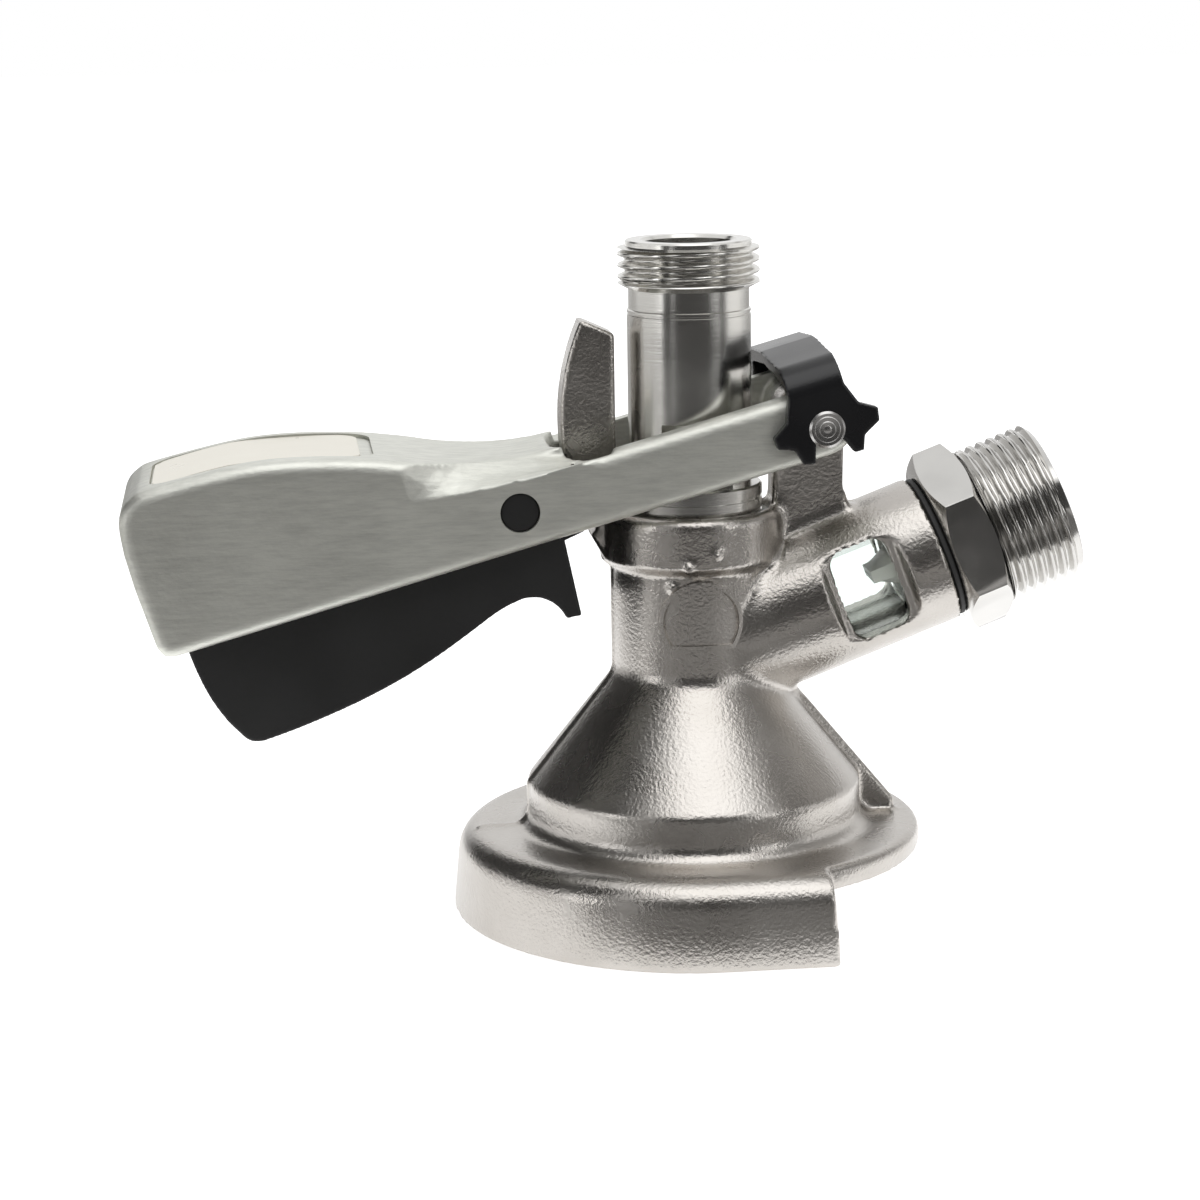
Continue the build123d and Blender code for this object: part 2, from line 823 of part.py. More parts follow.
with BuildPart() as recess_cut:
    add(recess_block)
    with BuildSketch(lever_side(label_recess)):
        with BuildLine():
            handle_profile()
        make_face()
    extrude(amount=lever_half_width, both=True, mode=Mode.SUBTRACT)

with BuildPart() as lever_done:
    add(lever_body)
    add(recess_cut.part, mode=Mode.SUBTRACT)
    # round lugs that reach into the flats of the probe
    lug_inner = tube_radius - flat_depth + lug_face_gap
    for side in (1, -1):
        lug_plane = Plane(
            origin=(pivot_x, side * lug_inner, pivot_z), x_dir=lever_along, z_dir=(0, side, 0)
        )
        with BuildSketch(lug_plane):
            with Locations((-lug_arm, 0)):
                Circle(lug_radius)
        extrude(amount=arm_inner - lug_inner + 0.5)
    # holes for both pins
    with BuildSketch(lever_side()):
        Circle(pin_radius + pin_hole_gap)
        with Locations((-trigger_pin_arm, trigger_pin_rise)):
            Circle(trigger_pin_radius + pin_hole_gap)
    extrude(amount=lever_half_width, both=True, mode=Mode.SUBTRACT)
lever_done.part.label = "lever"
export_step(lever_done.part, "parts/lever.step")

# Label field: a thin curved plate with nothing on it
with BuildPart() as label_plate:
    with BuildSketch(lever_side(label_recess - label_thickness)):
        with BuildLine():
            handle_profile()
        make_face()
    extrude(amount=label_half_width, both=True)
    with BuildSketch(lever_side(label_recess)):
        with BuildLine():
            handle_profile()
        make_face()
    extrude(amount=label_half_width, both=True, mode=Mode.SUBTRACT)
    with BuildSketch(lever_plan(-30)):
        with Locations((-label_start - label_length / 2, 0)):
            RectangleRounded(label_length, 2 * label_half_width, label_corner)
    extrude(amount=60, mode=Mode.INTERSECT)
label_plate.part.label = "label_plate"
export_step(label_plate.part, "parts/label_plate.step")

# Pivot pin with a thinner neck at each end for the clip
with BuildPart() as pivot_pin:
    pin_reach = lever_half_width + clip_wall + pin_proud
    with BuildSketch(lever_side()):
        Circle(pin_radius)
    extrude(amount=lever_half_width, both=True)
    with BuildSketch(lever_side()):
        Circle(pin_neck_radius)
    extrude(amount=pin_reach, both=True)
pivot_pin.part.label = "pivot_pin"
export_step(pivot_pin.part, "parts/pivot_pin.step")

# Pin that the trigger turns on
with BuildPart() as trigger_pin:
    with BuildSketch(lever_side()):
        with Locations((-trigger_pin_arm, trigger_pin_rise)):
            Circle(trigger_pin_radius)
    extrude(amount=lever_half_width - trigger_pin_sink, both=True)
    chamfer(trigger_pin.edges().filter_by(GeomType.CIRCLE), 0.3)
trigger_pin.part.label = "trigger_pin"
export_step(trigger_pin.part, "parts/trigger_pin.step")

# Plastic clip: a saddle over the lever end with a winged ear on each side
with BuildPart() as pin_clip:
    clip_half = lever_half_width + clip_wall
    with BuildSketch(lever_cross(clip_start)) as saddle_outline:
        with BuildLine():
            Polyline(
                (-clip_half, clip_shoulder),
                (-clip_half, clip_crown - 1.4),
                (0, clip_crown),
                (clip_half, clip_crown - 1.4),
                (clip_half, clip_shoulder),
                (clip_half - clip_wall, clip_shoulder),
                (clip_half - clip_wall, clip_crown - 1.4 - clip_wall),
                (0, clip_crown - clip_wall),
                (-clip_half + clip_wall, clip_crown - 1.4 - clip_wall),
                (-clip_half + clip_wall, clip_shoulder),
                close=True,
            )
        make_face()
        for corner_x in (-clip_half, clip_half):
            outer_corner = (corner_x, clip_crown - 1.4)
            fillet(saddle_outline.vertices().sort_by_distance(outer_corner)[0], clip_corner - 2)
        for corner_x in (-clip_half + clip_wall, clip_half - clip_wall):
            inner_corner = (corner_x, clip_crown - 1.4 - clip_wall)
            fillet(
                saddle_outline.vertices().sort_by_distance(inner_corner)[0],
                clip_corner - 2 - clip_wall,
            )
    extrude(amount=clip_width)
    for side in (1, -1):
        ear_plane = Plane(
            origin=(pivot_x, side * lever_half_width, pivot_z),
            x_dir=lever_along,
            z_dir=(0, side, 0),
        )
        with BuildSketch(ear_plane):
            with BuildLine():
                ear_points = [
                    (-4.6, clip_shoulder + 0.6),
                    (-6.0, 2.5),
                    (-8.5, 0.9),
                    (-8.3, -0.9),
                    (-5.8, -1.8),
                    (-5.0, -4.4),
                    (-3.2, -4.8),
                    (-2.2, -1.6),
                    (2.2, -2.4),
                    (3.3, -4.9),
                    (4.8, -4.9),
                    (5.6, -2.6),
                    (8.4, -1.1),
                    (8.7, 1.0),
                    (6.0, 2.6),
                    (4.5, clip_shoulder + 0.6),
                ]
                Polyline(*[(x, -side * y) for x, y in ear_points], close=True)
            make_face()
            Circle(pin_neck_radius + pin_hole_gap, mode=Mode.SUBTRACT)
        extrude(amount=clip_wall)
pin_clip.part.label = "pin_clip"
export_step(pin_clip.part, "parts/pin_clip.step")

# Trigger under the handle, a moulded channel with a hook for the horn
with BuildPart() as trigger:
    with BuildSketch(lever_side()):
        with BuildLine():
            heel = Spline((-106.3, 0.5), (-106.2, -7.0), (-104.9, -15.0), (-102.4, -20.8))
            corner = ThreePointArc(heel @ 1, (-101.1, -22.4), (-99.0, -22.9))
            belly = Spline(
                corner @ 1,
                (-90.0, -22.3),
                (-79.0, -20.7),
                (-69.6, -18.3),
                (-60.6, -15.1),
                (-54.5, -13.4),
                tangents=[(1, 0.02), (1, 0.12)],
            )
            rest = ThreePointArc(belly @ 1, (-50.3, -14.1), (-47.5, -18.4))
            Polyline(
                rest @ 1,
                (-45.0, -18.7),
                (-44.2, -6.3),
                (-44.2, 0.5),
                heel @ 0,
            )
        make_face()
        with Locations((-trigger_pin_arm, trigger_pin_rise)):
            Circle(trigger_boss_radius)
    extrude(amount=trigger_half_width, both=True)
    # open inside, walls and floor as moulded
    with BuildSketch(lever_side()):
        with BuildLine():
            inner_heel = Line((-106.3 + trigger_floor, 3.0), (-101.8, -16.0))
            inner_belly = Spline(
                (-99.5, -19.7),
                (-79.0, -17.6),
                (-66.0, -13.6),
                (-57.5, -10.0),
            )
            Line(inner_heel @ 1, inner_belly @ 0)
            Polyline(inner_belly @ 1, (-57.5, 3.0), inner_heel @ 0)
        make_face()
    extrude(amount=trigger_half_width - trigger_wall, both=True, mode=Mode.SUBTRACT)
    # hook that drops into the catch of the horn
    with BuildSketch(lever_side()):
        with BuildLine():
            tip_reach = horn_reach + hook_gap
            hook_tip_high = (-sqrt(tip_reach**2 - hook_high**2), -hook_high)
            hook_tip_low = (-sqrt(tip_reach**2 - hook_low**2), -hook_low)
            Polyline(
                (-45.5, -hook_high + 0.8),
                hook_tip_high,
                hook_tip_low,
                (-45.5, -hook_low - 0.8),
                close=True,
            )
        make_face()
    extrude(amount=hook_half_width, both=True)
    # room for the leg spring round the pin
    with BuildSketch(lever_side()):
        with Locations((-trigger_pin_arm, trigger_pin_rise)):
            Circle(spring_coil_radius + spring_wire + 0.2)
        with BuildLine():
            Polyline(
                (-trigger_pin_arm, 8.0),
                (-58.0, 8.0),
                (-58.0, -4.6),
                (-trigger_pin_arm, -4.6),
                close=True,
            )
        make_face()
    extrude(amount=spring_half_width + 0.4, both=True, mode=Mode.SUBTRACT)
    with BuildSketch(lever_side()):
        with Locations((-trigger_pin_arm, trigger_pin_rise)):
            Circle(trigger_pin_radius + running_gap)
    extrude(amount=trigger_half_width, both=True, mode=Mode.SUBTRACT)
trigger.part.label = "trigger"
export_step(trigger.part, "parts/trigger.step")

# Leg spring that pushes the trigger towards the horn
with BuildPart() as trigger_spring:
    coil_width = 2 * (spring_half_width - spring_wire)
    coil_centre = (
        pivot_x - trigger_pin_arm * cos(closed_angle) - trigger_pin_rise * sin(closed_angle),
        coil_width / 2,
        pivot_z - trigger_pin_arm * sin(closed_angle) + trigger_pin_rise * cos(closed_angle),
    )
    with BuildLine() as coil_path:
        Helix(
            pitch=coil_width / spring_turns,
            height=coil_width,
            radius=spring_coil_radius,
            center=coil_centre,
            direction=(0, -1, 0),
        )
    coil_from = coil_path.line @ 0
    coil_to = coil_path.line @ 1
    with BuildSketch(Plane(origin=coil_from, z_dir=coil_path.line % 0)):
        RegularPolygon(spring_wire / 2, 8)
    sweep(is_frenet=True)
    for leg_root in (coil_from, coil_to):
        with BuildSketch(Plane(origin=leg_root, z_dir=(-1, 0, 0))):
            RegularPolygon(spring_wire / 2, 8)
        extrude(amount=spring_leg)
trigger_spring.part.label = "trigger_spring"
export_step(trigger_spring.part, "parts/trigger_spring.step")
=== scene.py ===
from math import asin, atan2, cos, degrees, pi, radians, sin, tan

import bpy
from mathutils import Matrix, Vector


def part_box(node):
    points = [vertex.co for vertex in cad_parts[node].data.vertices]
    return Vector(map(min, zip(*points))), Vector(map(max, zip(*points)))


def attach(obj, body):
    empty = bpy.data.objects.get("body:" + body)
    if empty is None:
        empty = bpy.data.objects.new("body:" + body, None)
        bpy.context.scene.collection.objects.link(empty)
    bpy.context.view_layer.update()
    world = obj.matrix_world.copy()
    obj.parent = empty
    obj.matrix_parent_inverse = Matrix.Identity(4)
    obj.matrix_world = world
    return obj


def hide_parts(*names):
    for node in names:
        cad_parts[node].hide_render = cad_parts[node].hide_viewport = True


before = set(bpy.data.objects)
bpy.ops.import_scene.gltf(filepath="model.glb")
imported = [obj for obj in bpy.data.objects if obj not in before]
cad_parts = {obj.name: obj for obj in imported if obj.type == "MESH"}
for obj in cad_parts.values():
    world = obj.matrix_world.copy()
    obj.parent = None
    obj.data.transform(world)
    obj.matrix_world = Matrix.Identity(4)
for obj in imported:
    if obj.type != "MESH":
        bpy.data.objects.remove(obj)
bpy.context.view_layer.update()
mm = 0.001

# pivot of the lever, slope of the closed lever and of the gas branch, as in the frame
pivot = {"x": 19.2, "z": 81.3, "slope": 15.3}
branch = {"z": 43.1, "slope": 20.6}


def clamp(value):
    return min(1, max(0, value))


def ease(share):  # from none to all with a soft start and end
    return share * share * (3 - 2 * share)


def deselectAll():
    if bpy.context.object and bpy.context.object.mode != "OBJECT":
        bpy.ops.object.mode_set(mode="OBJECT")
    bpy.ops.object.select_all(action="DESELECT")


def activate(piece):
    deselectAll()
    piece.select_set(True)
    bpy.context.view_layer.objects.active = piece


def bake(piece):  # every modifier first, then the object's own place
    activate(piece)
    for modifier in list(piece.modifiers):
        bpy.ops.object.modifier_apply(modifier=modifier.name)
    bpy.ops.object.transform_apply(location=True, rotation=True, scale=True)
    return piece


def mergePoints(piece, gap=0.000002, turnOut=True):
    activate(piece)
    bpy.ops.object.mode_set(mode="EDIT")
    bpy.ops.mesh.select_all(action="SELECT")
    bpy.ops.mesh.remove_doubles(threshold=gap)
    if turnOut:
        bpy.ops.mesh.normals_make_consistent(inside=False)
    bpy.ops.object.mode_set(mode="OBJECT")


def smoothShade(piece, angle=40):
    activate(piece)
    bpy.ops.object.shade_smooth_by_angle(angle=radians(angle))


def chain(name, points, closed):  # a line of points in millimetres, as a mesh
    deselectAll()
    data = bpy.data.curves.new(name, "CURVE")
    data.dimensions = "3D"
    line = data.splines.new("POLY")
    line.points.add(len(points) - 1)
    for point, place in zip(line.points, points):
        point.co = (place[0] * mm, place[1] * mm, place[2] * mm, 1)
    line.use_cyclic_u = closed
    piece = bpy.data.objects.new(name, data)
    bpy.context.scene.collection.objects.link(piece)
    activate(piece)
    bpy.ops.object.convert(target="MESH")
    return bpy.context.object


def lathe(name, rings, segments=160, closed=False, solid=False, start=0, turn=360):
    # spins (radius, height) pairs about z; a solid outline is filled first, for a part turn
    first = radians(start)
    points = [(radius * cos(first), radius * sin(first), height) for radius, height in rings]
    piece = chain(name, points, closed or solid)
    bpy.ops.object.mode_set(mode="EDIT")
    bpy.ops.mesh.select_all(action="SELECT")
    if solid:
        bpy.ops.mesh.edge_face_add()
    bpy.ops.mesh.spin(steps=segments, angle=radians(-turn), center=(0, 0, 0), axis=(0, 0, 1))
    bpy.ops.object.mode_set(mode="OBJECT")
    mergePoints(piece, 0.00001)
    return piece


def arc(x, y, radius, first, last, steps):  # points on an arc, angles in degrees
    angles = [radians(first + (last - first) * i / steps) for i in range(steps + 1)]
    return [(x + radius * cos(angle), y + radius * sin(angle)) for angle in angles]


def roundCorners(corners, steps=7):  # closed outline of (x, y, radius of the corner)
    points = []
    for i, (x, y, radius) in enumerate(corners):
        here = Vector((x, y))
        if not radius:
            points.append((x, y))
            continue
        before = (Vector(corners[i - 1][:2]) - here).normalized()
        after = (Vector(corners[(i + 1) % len(corners)][:2]) - here).normalized()
        half = before.angle(after) / 2
        center = here + (before + after).normalized() * radius / sin(half)
        first = here + before * radius / tan(half) - center
        last = here + after * radius / tan(half) - center
        sweep = (pi - 2 * half) * (1 if first.x * last.y > first.y * last.x else -1)
        for k in range(steps + 1):
            arc = Matrix.Rotation(sweep * k / steps, 2) @ first
            points.append((center.x + arc.x, center.y + arc.y))
    return points


def roundedBox(left, right, half, corner):  # closed outline, centred on the x axis
    corners = ((left, -half), (right, -half), (right, half), (left, half))
    return roundCorners([(x, y, corner) for x, y in corners])


def slab(name, outline, low, high, matrix=None, flare=1):  # outline in x and y, thick along z
    piece = chain(name, [(x, y, low) for x, y in outline], True)
    middle = [sum(point[k] for point in outline) / len(outline) * mm for k in (0, 1)]
    bpy.ops.object.mode_set(mode="EDIT")
    bpy.ops.mesh.select_all(action="SELECT")
    bpy.ops.mesh.edge_face_add()
    bpy.ops.mesh.extrude_region_move(TRANSFORM_OT_translate={"value": (0, 0, (high - low) * mm)})
    if flare != 1:
        bpy.ops.transform.resize(value=(flare, flare, 1), center_override=(*middle, high * mm))
    bpy.ops.object.mode_set(mode="OBJECT")
    mergePoints(piece, 0.00001)
    return place(piece, matrix) if matrix else piece


def disc(name, x, y, radius, low, high, sides=48, matrix=None):
    return slab(name, arc(x, y, radius, 0, 360 - 360 / sides, sides - 1), low, high, matrix)


def place(piece, matrix):
    piece.matrix_world = matrix @ piece.matrix_world
    activate(piece)
    bpy.ops.object.transform_apply(location=True, rotation=True, scale=True)
    return piece


def sideFrame():  # x along the closed lever from the pivot, y up from it, z to the front
    turn = Matrix.Rotation(radians(-pivot["slope"]), 4, "Y") @ Matrix.Rotation(radians(90), 4, "X")
    return Matrix.Translation((pivot["x"] * mm, 0, pivot["z"] * mm)) @ turn


def branchFrame():  # z along the gas branch
    turn = Matrix.Rotation(radians(90 - branch["slope"]), 4, "Y")
    return Matrix.Translation((0, 0, branch["z"] * mm)) @ turn


def combine(piece, other, operation):
    activate(piece)
    modifier = piece.modifiers.new("combine", "BOOLEAN")
    modifier.operation = operation
    modifier.solver = "MANIFOLD"
    modifier.object = other
    bpy.ops.object.modifier_apply(modifier=modifier.name)
    bpy.data.objects.remove(other, do_unlink=True)
    return piece


def join(pieces, name):
    deselectAll()
    for piece in pieces:
        piece.select_set(True)
    bpy.context.view_layer.objects.active = pieces[0]
    bpy.ops.object.join()
    pieces[0].name = name
    return pieces[0]


def copyNode(node, name):  # a merged copy of a fixed node's mesh
    piece = bpy.data.objects.new(name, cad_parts[node].data.copy())
    bpy.context.scene.collection.objects.link(piece)
    mergePoints(piece, turnOut=False)
    return piece


# a skin of small cells, smoothed and thinned, gives a casting's soft edges and corners
def castSoft(piece, voxel, rounds, faces=196000, hold=None):
    activate(piece)
    remesh = piece.modifiers.new("skin", "REMESH")
    remesh.mode = "VOXEL"
    remesh.voxel_size = voxel * mm
    bake(piece)
    if hold:
        hold(piece)
    soften = piece.modifiers.new("soften", "SMOOTH")
    soften.factor = 0.5
    soften.iterations = rounds
    bake(piece)
    count = sum(len(face.vertices) - 2 for face in piece.data.polygons)
    if count > faces:
        fewer = piece.modifiers.new("fewer", "DECIMATE")
        fewer.ratio = faces / count
        bake(piece)
    print(piece.name, "triangles", count)
    return piece


def noiseNode(tree, scale, detail=2.0, stretch=(1, 1, 1), rough=0.5, turn=(0, 0, 0)):
    coords = tree.nodes.new("ShaderNodeTexCoord")
    turned = tree.nodes.new("ShaderNodeMapping")
    turned.inputs["Rotation"].default_value = turn
    drawn = tree.nodes.new("ShaderNodeMapping")
    drawn.inputs["Scale"].default_value = stretch
    noise = tree.nodes.new("ShaderNodeTexNoise")
    noise.inputs["Scale"].default_value = scale
    noise.inputs["Detail"].default_value = detail
    noise.inputs["Roughness"].default_value = rough
    tree.links.new(coords.outputs["Object"], turned.inputs["Vector"])
    tree.links.new(turned.outputs["Vector"], drawn.inputs["Vector"])
    tree.links.new(drawn.outputs["Vector"], noise.inputs["Vector"])
    return noise.outputs["Fac"]


def spread(tree, source, low, high, fromLow=0.3, fromHigh=0.7):
    node = tree.nodes.new("ShaderNodeMapRange")
    node.inputs["From Min"].default_value = fromLow
    node.inputs["From Max"].default_value = fromHigh
    node.inputs["To Min"].default_value = low
    node.inputs["To Max"].default_value = high
    tree.links.new(source, node.inputs["Value"])
    return node.outputs["Result"]


def tint(tree, shader, factor, first, second):
    blend = tree.nodes.new("ShaderNodeMix")
    blend.data_type = "RGBA"
    colors = [socket for socket in blend.inputs if socket.type == "RGBA"]
    colors[0].default_value = (*first, 1)
    colors[1].default_value = (*second, 1)
    tree.links.new(factor, blend.inputs[0])
    result = [socket for socket in blend.outputs if socket.type == "RGBA"][0]
    tree.links.new(result, shader.inputs["Base Color"])


def grain(tree, shader, bumps, depth):  # pairs of noise settings and strength
    normal = None
    for settings, strength in bumps:
        bump = tree.nodes.new("ShaderNodeBump")
        bump.inputs["Strength"].default_value = strength
        bump.inputs["Distance"].default_value = depth
        tree.links.new(noiseNode(tree, **settings), bump.inputs["Height"])
        if normal:
            tree.links.new(normal, bump.inputs["Normal"])
        normal = bump.outputs["Normal"]
    tree.links.new(normal, shader.inputs["Normal"])


def makeMaterial(name, look):  # colour and roughness drift with a soft cloud, over a fine grain
    material = bpy.data.materials.new(name)
    material.use_nodes = True
    tree = material.node_tree
    shader = tree.nodes["Principled BSDF"]
    shader.inputs["Metallic"].default_value = look["metal"]
    if "clear" in look:
        shader.inputs["Transmission Weight"].default_value = 1
        shader.inputs["IOR"].default_value = look["clear"]
    cloud = noiseNode(tree, **look["cloud"])
    tone = noiseNode(tree, **look["tone"]) if "tone" in look else cloud
    factor = spread(tree, tone, 0, 1, *look.get("toneRange", (0.3, 0.7)))
    tint(tree, shader, factor, look["dark"], look["pale"])
    tree.links.new(spread(tree, cloud, *look["rough"]), shader.inputs["Roughness"])
    grain(tree, shader, look["bumps"], look["depth"])
    return material


def turnedLook(tone, rough, turn):  # fine rings square to the piece's own axis
    rings = {"scale": 60, "detail": 3, "stretch": (1, 1, 60), "turn": turn}
    return {"metal": 1, "dark": tuple(0.9 * part for part in tone), "pale": tone,
            "rough": (0.8 * rough, 1.3 * rough), "cloud": {"scale": 120},
            "bumps": [(rings, 0.3)], "depth": 0.00002}


def mouldedLook(tone, rough, fine, depth):
    return {"metal": 0, "dark": tone, "pale": tuple(1.2 * part + 0.002 for part in tone),
            "rough": (0.85 * rough, 1.15 * rough), "cloud": {"scale": 60},
            "bumps": [({"scale": fine}, 0.4)], "depth": depth}


leverStreak = {"scale": 900, "detail": 4, "stretch": (0.22, 1, 1.6), "rough": 0.7}
looks = {
    "castSteel": {
        "metal": 1, "dark": (0.46, 0.435, 0.405), "pale": (0.56, 0.535, 0.505), "rough": (0.23, 0.31),
        "cloud": {"scale": 70, "detail": 3}, "depth": 0.00010,
        "bumps": [({"scale": 1900}, 0.8), ({"scale": 420}, 0.15)],
    },
    "leverMetal": {  # tumbled casting: the grain is drawn out along the lever
        "metal": 1, "dark": (0.62, 0.625, 0.58), "pale": (0.76, 0.765, 0.71), "rough": (0.44, 0.56),
        "cloud": {"scale": 45, "detail": 4, "rough": 0.6}, "depth": 0.00007,
        "tone": leverStreak, "toneRange": (0.25, 0.62),
        "bumps": [({"scale": 1500, "detail": 3, "stretch": (0.6, 1, 1)}, 0.8), (leverStreak, 0.45)],
    },
    "labelPad": {  # cream field, nothing on it
        "metal": 0, "dark": (0.84, 0.80, 0.69), "pale": (0.90, 0.87, 0.77), "rough": (0.26, 0.38),
        "cloud": {"scale": 90, "detail": 3}, "depth": 0.00002, "bumps": [({"scale": 2400}, 0.2)],
    },
    "clearGlass": {
        "metal": 0, "clear": 1.49, "dark": (0.93, 0.97, 0.95), "pale": (0.93, 0.97, 0.95),
        "rough": (0.01, 0.06), "cloud": {"scale": 400}, "depth": 0.00002, "bumps": [({"scale": 400}, 0.05)],
    },
    "probeSteel": turnedLook((0.70, 0.69, 0.66), 0.19, (0, 0, 0)),
    "fittingSteel": turnedLook((0.62, 0.61, 0.59), 0.17, (0, radians(branch["slope"] - 90), 0)),
    "pinSteel": turnedLook((0.55, 0.54, 0.53), 0.28, (radians(90), 0, 0)),
    "blackPlastic": mouldedLook((0.006, 0.006, 0.006), 0.5, 1500, 0.00006),
    "clipPlastic": mouldedLook((0.004, 0.004, 0.005), 0.28, 2200, 0.00003),
    "sealRubber": mouldedLook((0.03, 0.03, 0.03), 0.6, 2400, 0.00004),
    "valveRubber": mouldedLook((0.62, 0.60, 0.55), 0.5, 2400, 0.00003),
    "whitePlastic": mouldedLook((0.72, 0.72, 0.70), 0.4, 2400, 0.00003),
}
materials = {name: makeMaterial(name, look) for name, look in looks.items()}
nodeFinish = {
    "housing": "castSteel", "keg_seal": "sealRubber", "neck_ring": "sealRubber",
    "guide_bush": "whitePlastic", "gas_fitting": "fittingSteel", "gas_washer": "sealRubber",
    "sight_glass": "clearGlass", "glass_seals": "whitePlastic", "lip_valve": "valveRubber",
    "probe": "probeSteel", "tip_seal": "sealRubber", "ball_cage": "whitePlastic",
    "check_ball": "pinSteel", "lever": "leverMetal", "label_plate": "labelPad",
    "pivot_pin": "pinSteel", "trigger_pin": "blackPlastic", "pin_clip": "clipPlastic",
    "trigger": "blackPlastic", "trigger_spring": "pinSteel",
}


def dressNode(node, material):
    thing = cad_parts[node]
    if not thing.material_slots:
        thing.data.materials.append(materials[material])
    for slot in thing.material_slots:
        slot.material = materials[material]


def settle(piece, node, body, angle=40):  # the new piece stands for a fixed node
    piece.data.materials.clear()
    piece.data.materials.append(materials[nodeFinish[node]])
    smoothShade(piece, angle)
    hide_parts(node)
    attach(piece, body)


for node, material in nodeFinish.items():
    dressNode(node, material)
print("materials done")

# housing: one casting of shoe, disc, bell, horn, pivot plate, branch and rib, then melted together
casting = {
    "slot": 35.0, "lip": 31.5, "lipTop": 4.2, "ceiling": 10.5, "slotEnd": 50,
    "shoe": 40.1, "shoeTop": 14.1, "shoeEdge": 38.74, "shoeRound": 4.6, "shoeFoot": 0.6,
    "leg": 17.4, "legLean": 3.8, "disc": 37.3, "discRound": 1.4, "discHalfTurn": 66.1,
    "band": 27.5, "bandTop": 21.3, "bandFoot": 2.6, "bandRound": 1.8, "flange": 31.1,
    "neck": 13.0, "coneTop": 39.7, "coneRound": 4.0, "neckTop": 57.4,
    "collar": 14.6, "collarFoot": 58.7, "collarTop": 66.8, "collarRound": 1.5, "bore": 11.75,
    "seal": 19, "sealTop": 13.4, "sealBore": 15.5, "chamberFoot": 16, "chamber": 22.5, "chamberLow": 18.6,
    "chamberHigh": 21.5, "boreFoot": 36.5,
    "horn": 40.6, "hornBack": -12.5, "hornFront": -14.4, "hornTop": 24.1, "hornFoot": 65.5, "hornDepth": 3.3,
    "catch": 1.5, "catchMouth": 1.0, "catchFirst": 3.2, "catchLast": 11.7,
    "plateHead": 5.8, "plateBack": 6.5, "plateFront": 5.4, "plateDepth": 3.5, "plateFoot": 1.6,
    "plateFootTop": 2.7,
    "branch": 12.3, "branchRoot": 6, "branchEnd": 42.8, "branchBore": 9.35, "branchShoulder": 21.0,
    "windowMiddle": 29.8, "windowHalf": 4.8, "windowHeight": 7.6, "windowCorner": 2.2,
    "pocketMargin": 1.3, "pocketFloor": 9.9, "pocketTop": 13.5, "pocketFlare": 1.22, "pinHole": 3.1,
    "ribDepth": 1.3, "ribTop": 17.0, "ribFoot": 33.7, "ribFootTop": 16.0,
    "ribInnerFoot": 21.5, "ribInnerTop": 31.7,
    "ridge": 0.35, "ridgeHalf": 0.4, "ridgeRoot": 2, "ridgeStart": 3,
    "pad": 6.8, "padFlat": -4.3, "padX": -0.2, "padHeight": 49.8, "padProud": 0.75, "padRim": 0.65,
    "padDrop": 0.5, "padFrom": 9, "padTo": 16,
    "voxel": 0.50, "rounds": 3,
}
# radius and height of the tool that opens the neck and seats the bush
reamer = [(0, 40), (11.8, 40), (11.8, 63.4), (12.75, 63.4), (12.75, 66), (13.3, 68), (12.3, 69), (12.3, 112),
          (0, 112)]
# place and radius of the small nubs on the collar and neck
nubs = ((2.1, -14.4, 61.0, 0.75), (-2.4, -14.4, 59.0, 0.9), (-4.8, -12.0, 55.5, 0.8))
joints = {"reach": 3.0, "plateReach": 2.6, "gain": 2.4, "cone": 0.79, "rounds": 44,
          "along": (3, 38), "low": 24, "plateX": (11, 28), "plateZ": (60, 72)}
lap = 1  # how far joined forms run into each other
through = 14  # half length of a cutter that passes right through
frontPlane = Matrix.Rotation(radians(90), 4, "X")
endPlane = Matrix(((0, 0, 1, 0), (1, 0, 0, 0), (0, 1, 0, 0), (0, 0, 0, 1)))


def addShoe():
    s = casting
    foot = (s["shoe"], 0, s["shoeFoot"])
    edge = (s["shoeEdge"], s["shoeTop"], s["shoeRound"])
    half = roundCorners([(0, 0, 0), foot, edge, (0, s["shoeTop"], 0)])
    back = lathe("shoe", half, 96, solid=True, start=90, turn=180)
    whole = roundCorners([(-foot[0], *foot[1:]), foot, edge, (-edge[0], *edge[1:])])
    legs = slab("legs", whole, 0, s["leg"] + 2 * lap, endPlane)
    lean = radians(s["legLean"])
    bpy.ops.object.mode_set(mode="EDIT")
    bpy.ops.mesh.select_all(action="SELECT")
    bpy.ops.mesh.bisect(plane_co=(s["leg"] * mm, 0, 0), plane_no=(cos(lean), 0, sin(lean)),
                        use_fill=True, clear_outer=True)
    bpy.ops.object.mode_set(mode="OBJECT")
    rim = roundCorners([(0, s["ceiling"], 0), (s["disc"], s["ceiling"], 0),
                        (s["disc"], s["shoeTop"], s["discRound"]), (0, s["shoeTop"], 0)])
    turn = s["discHalfTurn"]
    lowerDisc = lathe("disc", rim, 96, solid=True, start=-turn, turn=2 * turn)
    combine(back, legs, "UNION")
    return combine(back, lowerDisc, "UNION")


def addBell(piece):
    s = casting
    rings = roundCorners([
        (0, s["ceiling"], 0), (s["flange"], s["ceiling"], 0), (s["flange"], s["shoeTop"], 0),
        (s["band"], s["shoeTop"], s["bandFoot"]), (s["band"], s["bandTop"], s["bandRound"]),
        (s["neck"], s["coneTop"], s["coneRound"]), (s["neck"], s["neckTop"], 0),
        (s["collar"], s["collarFoot"], 0), (s["collar"], s["collarTop"], s["collarRound"]),
        (0, s["collarTop"], 0),
    ])
    return combine(piece, lathe("bell", rings, 128), "UNION")


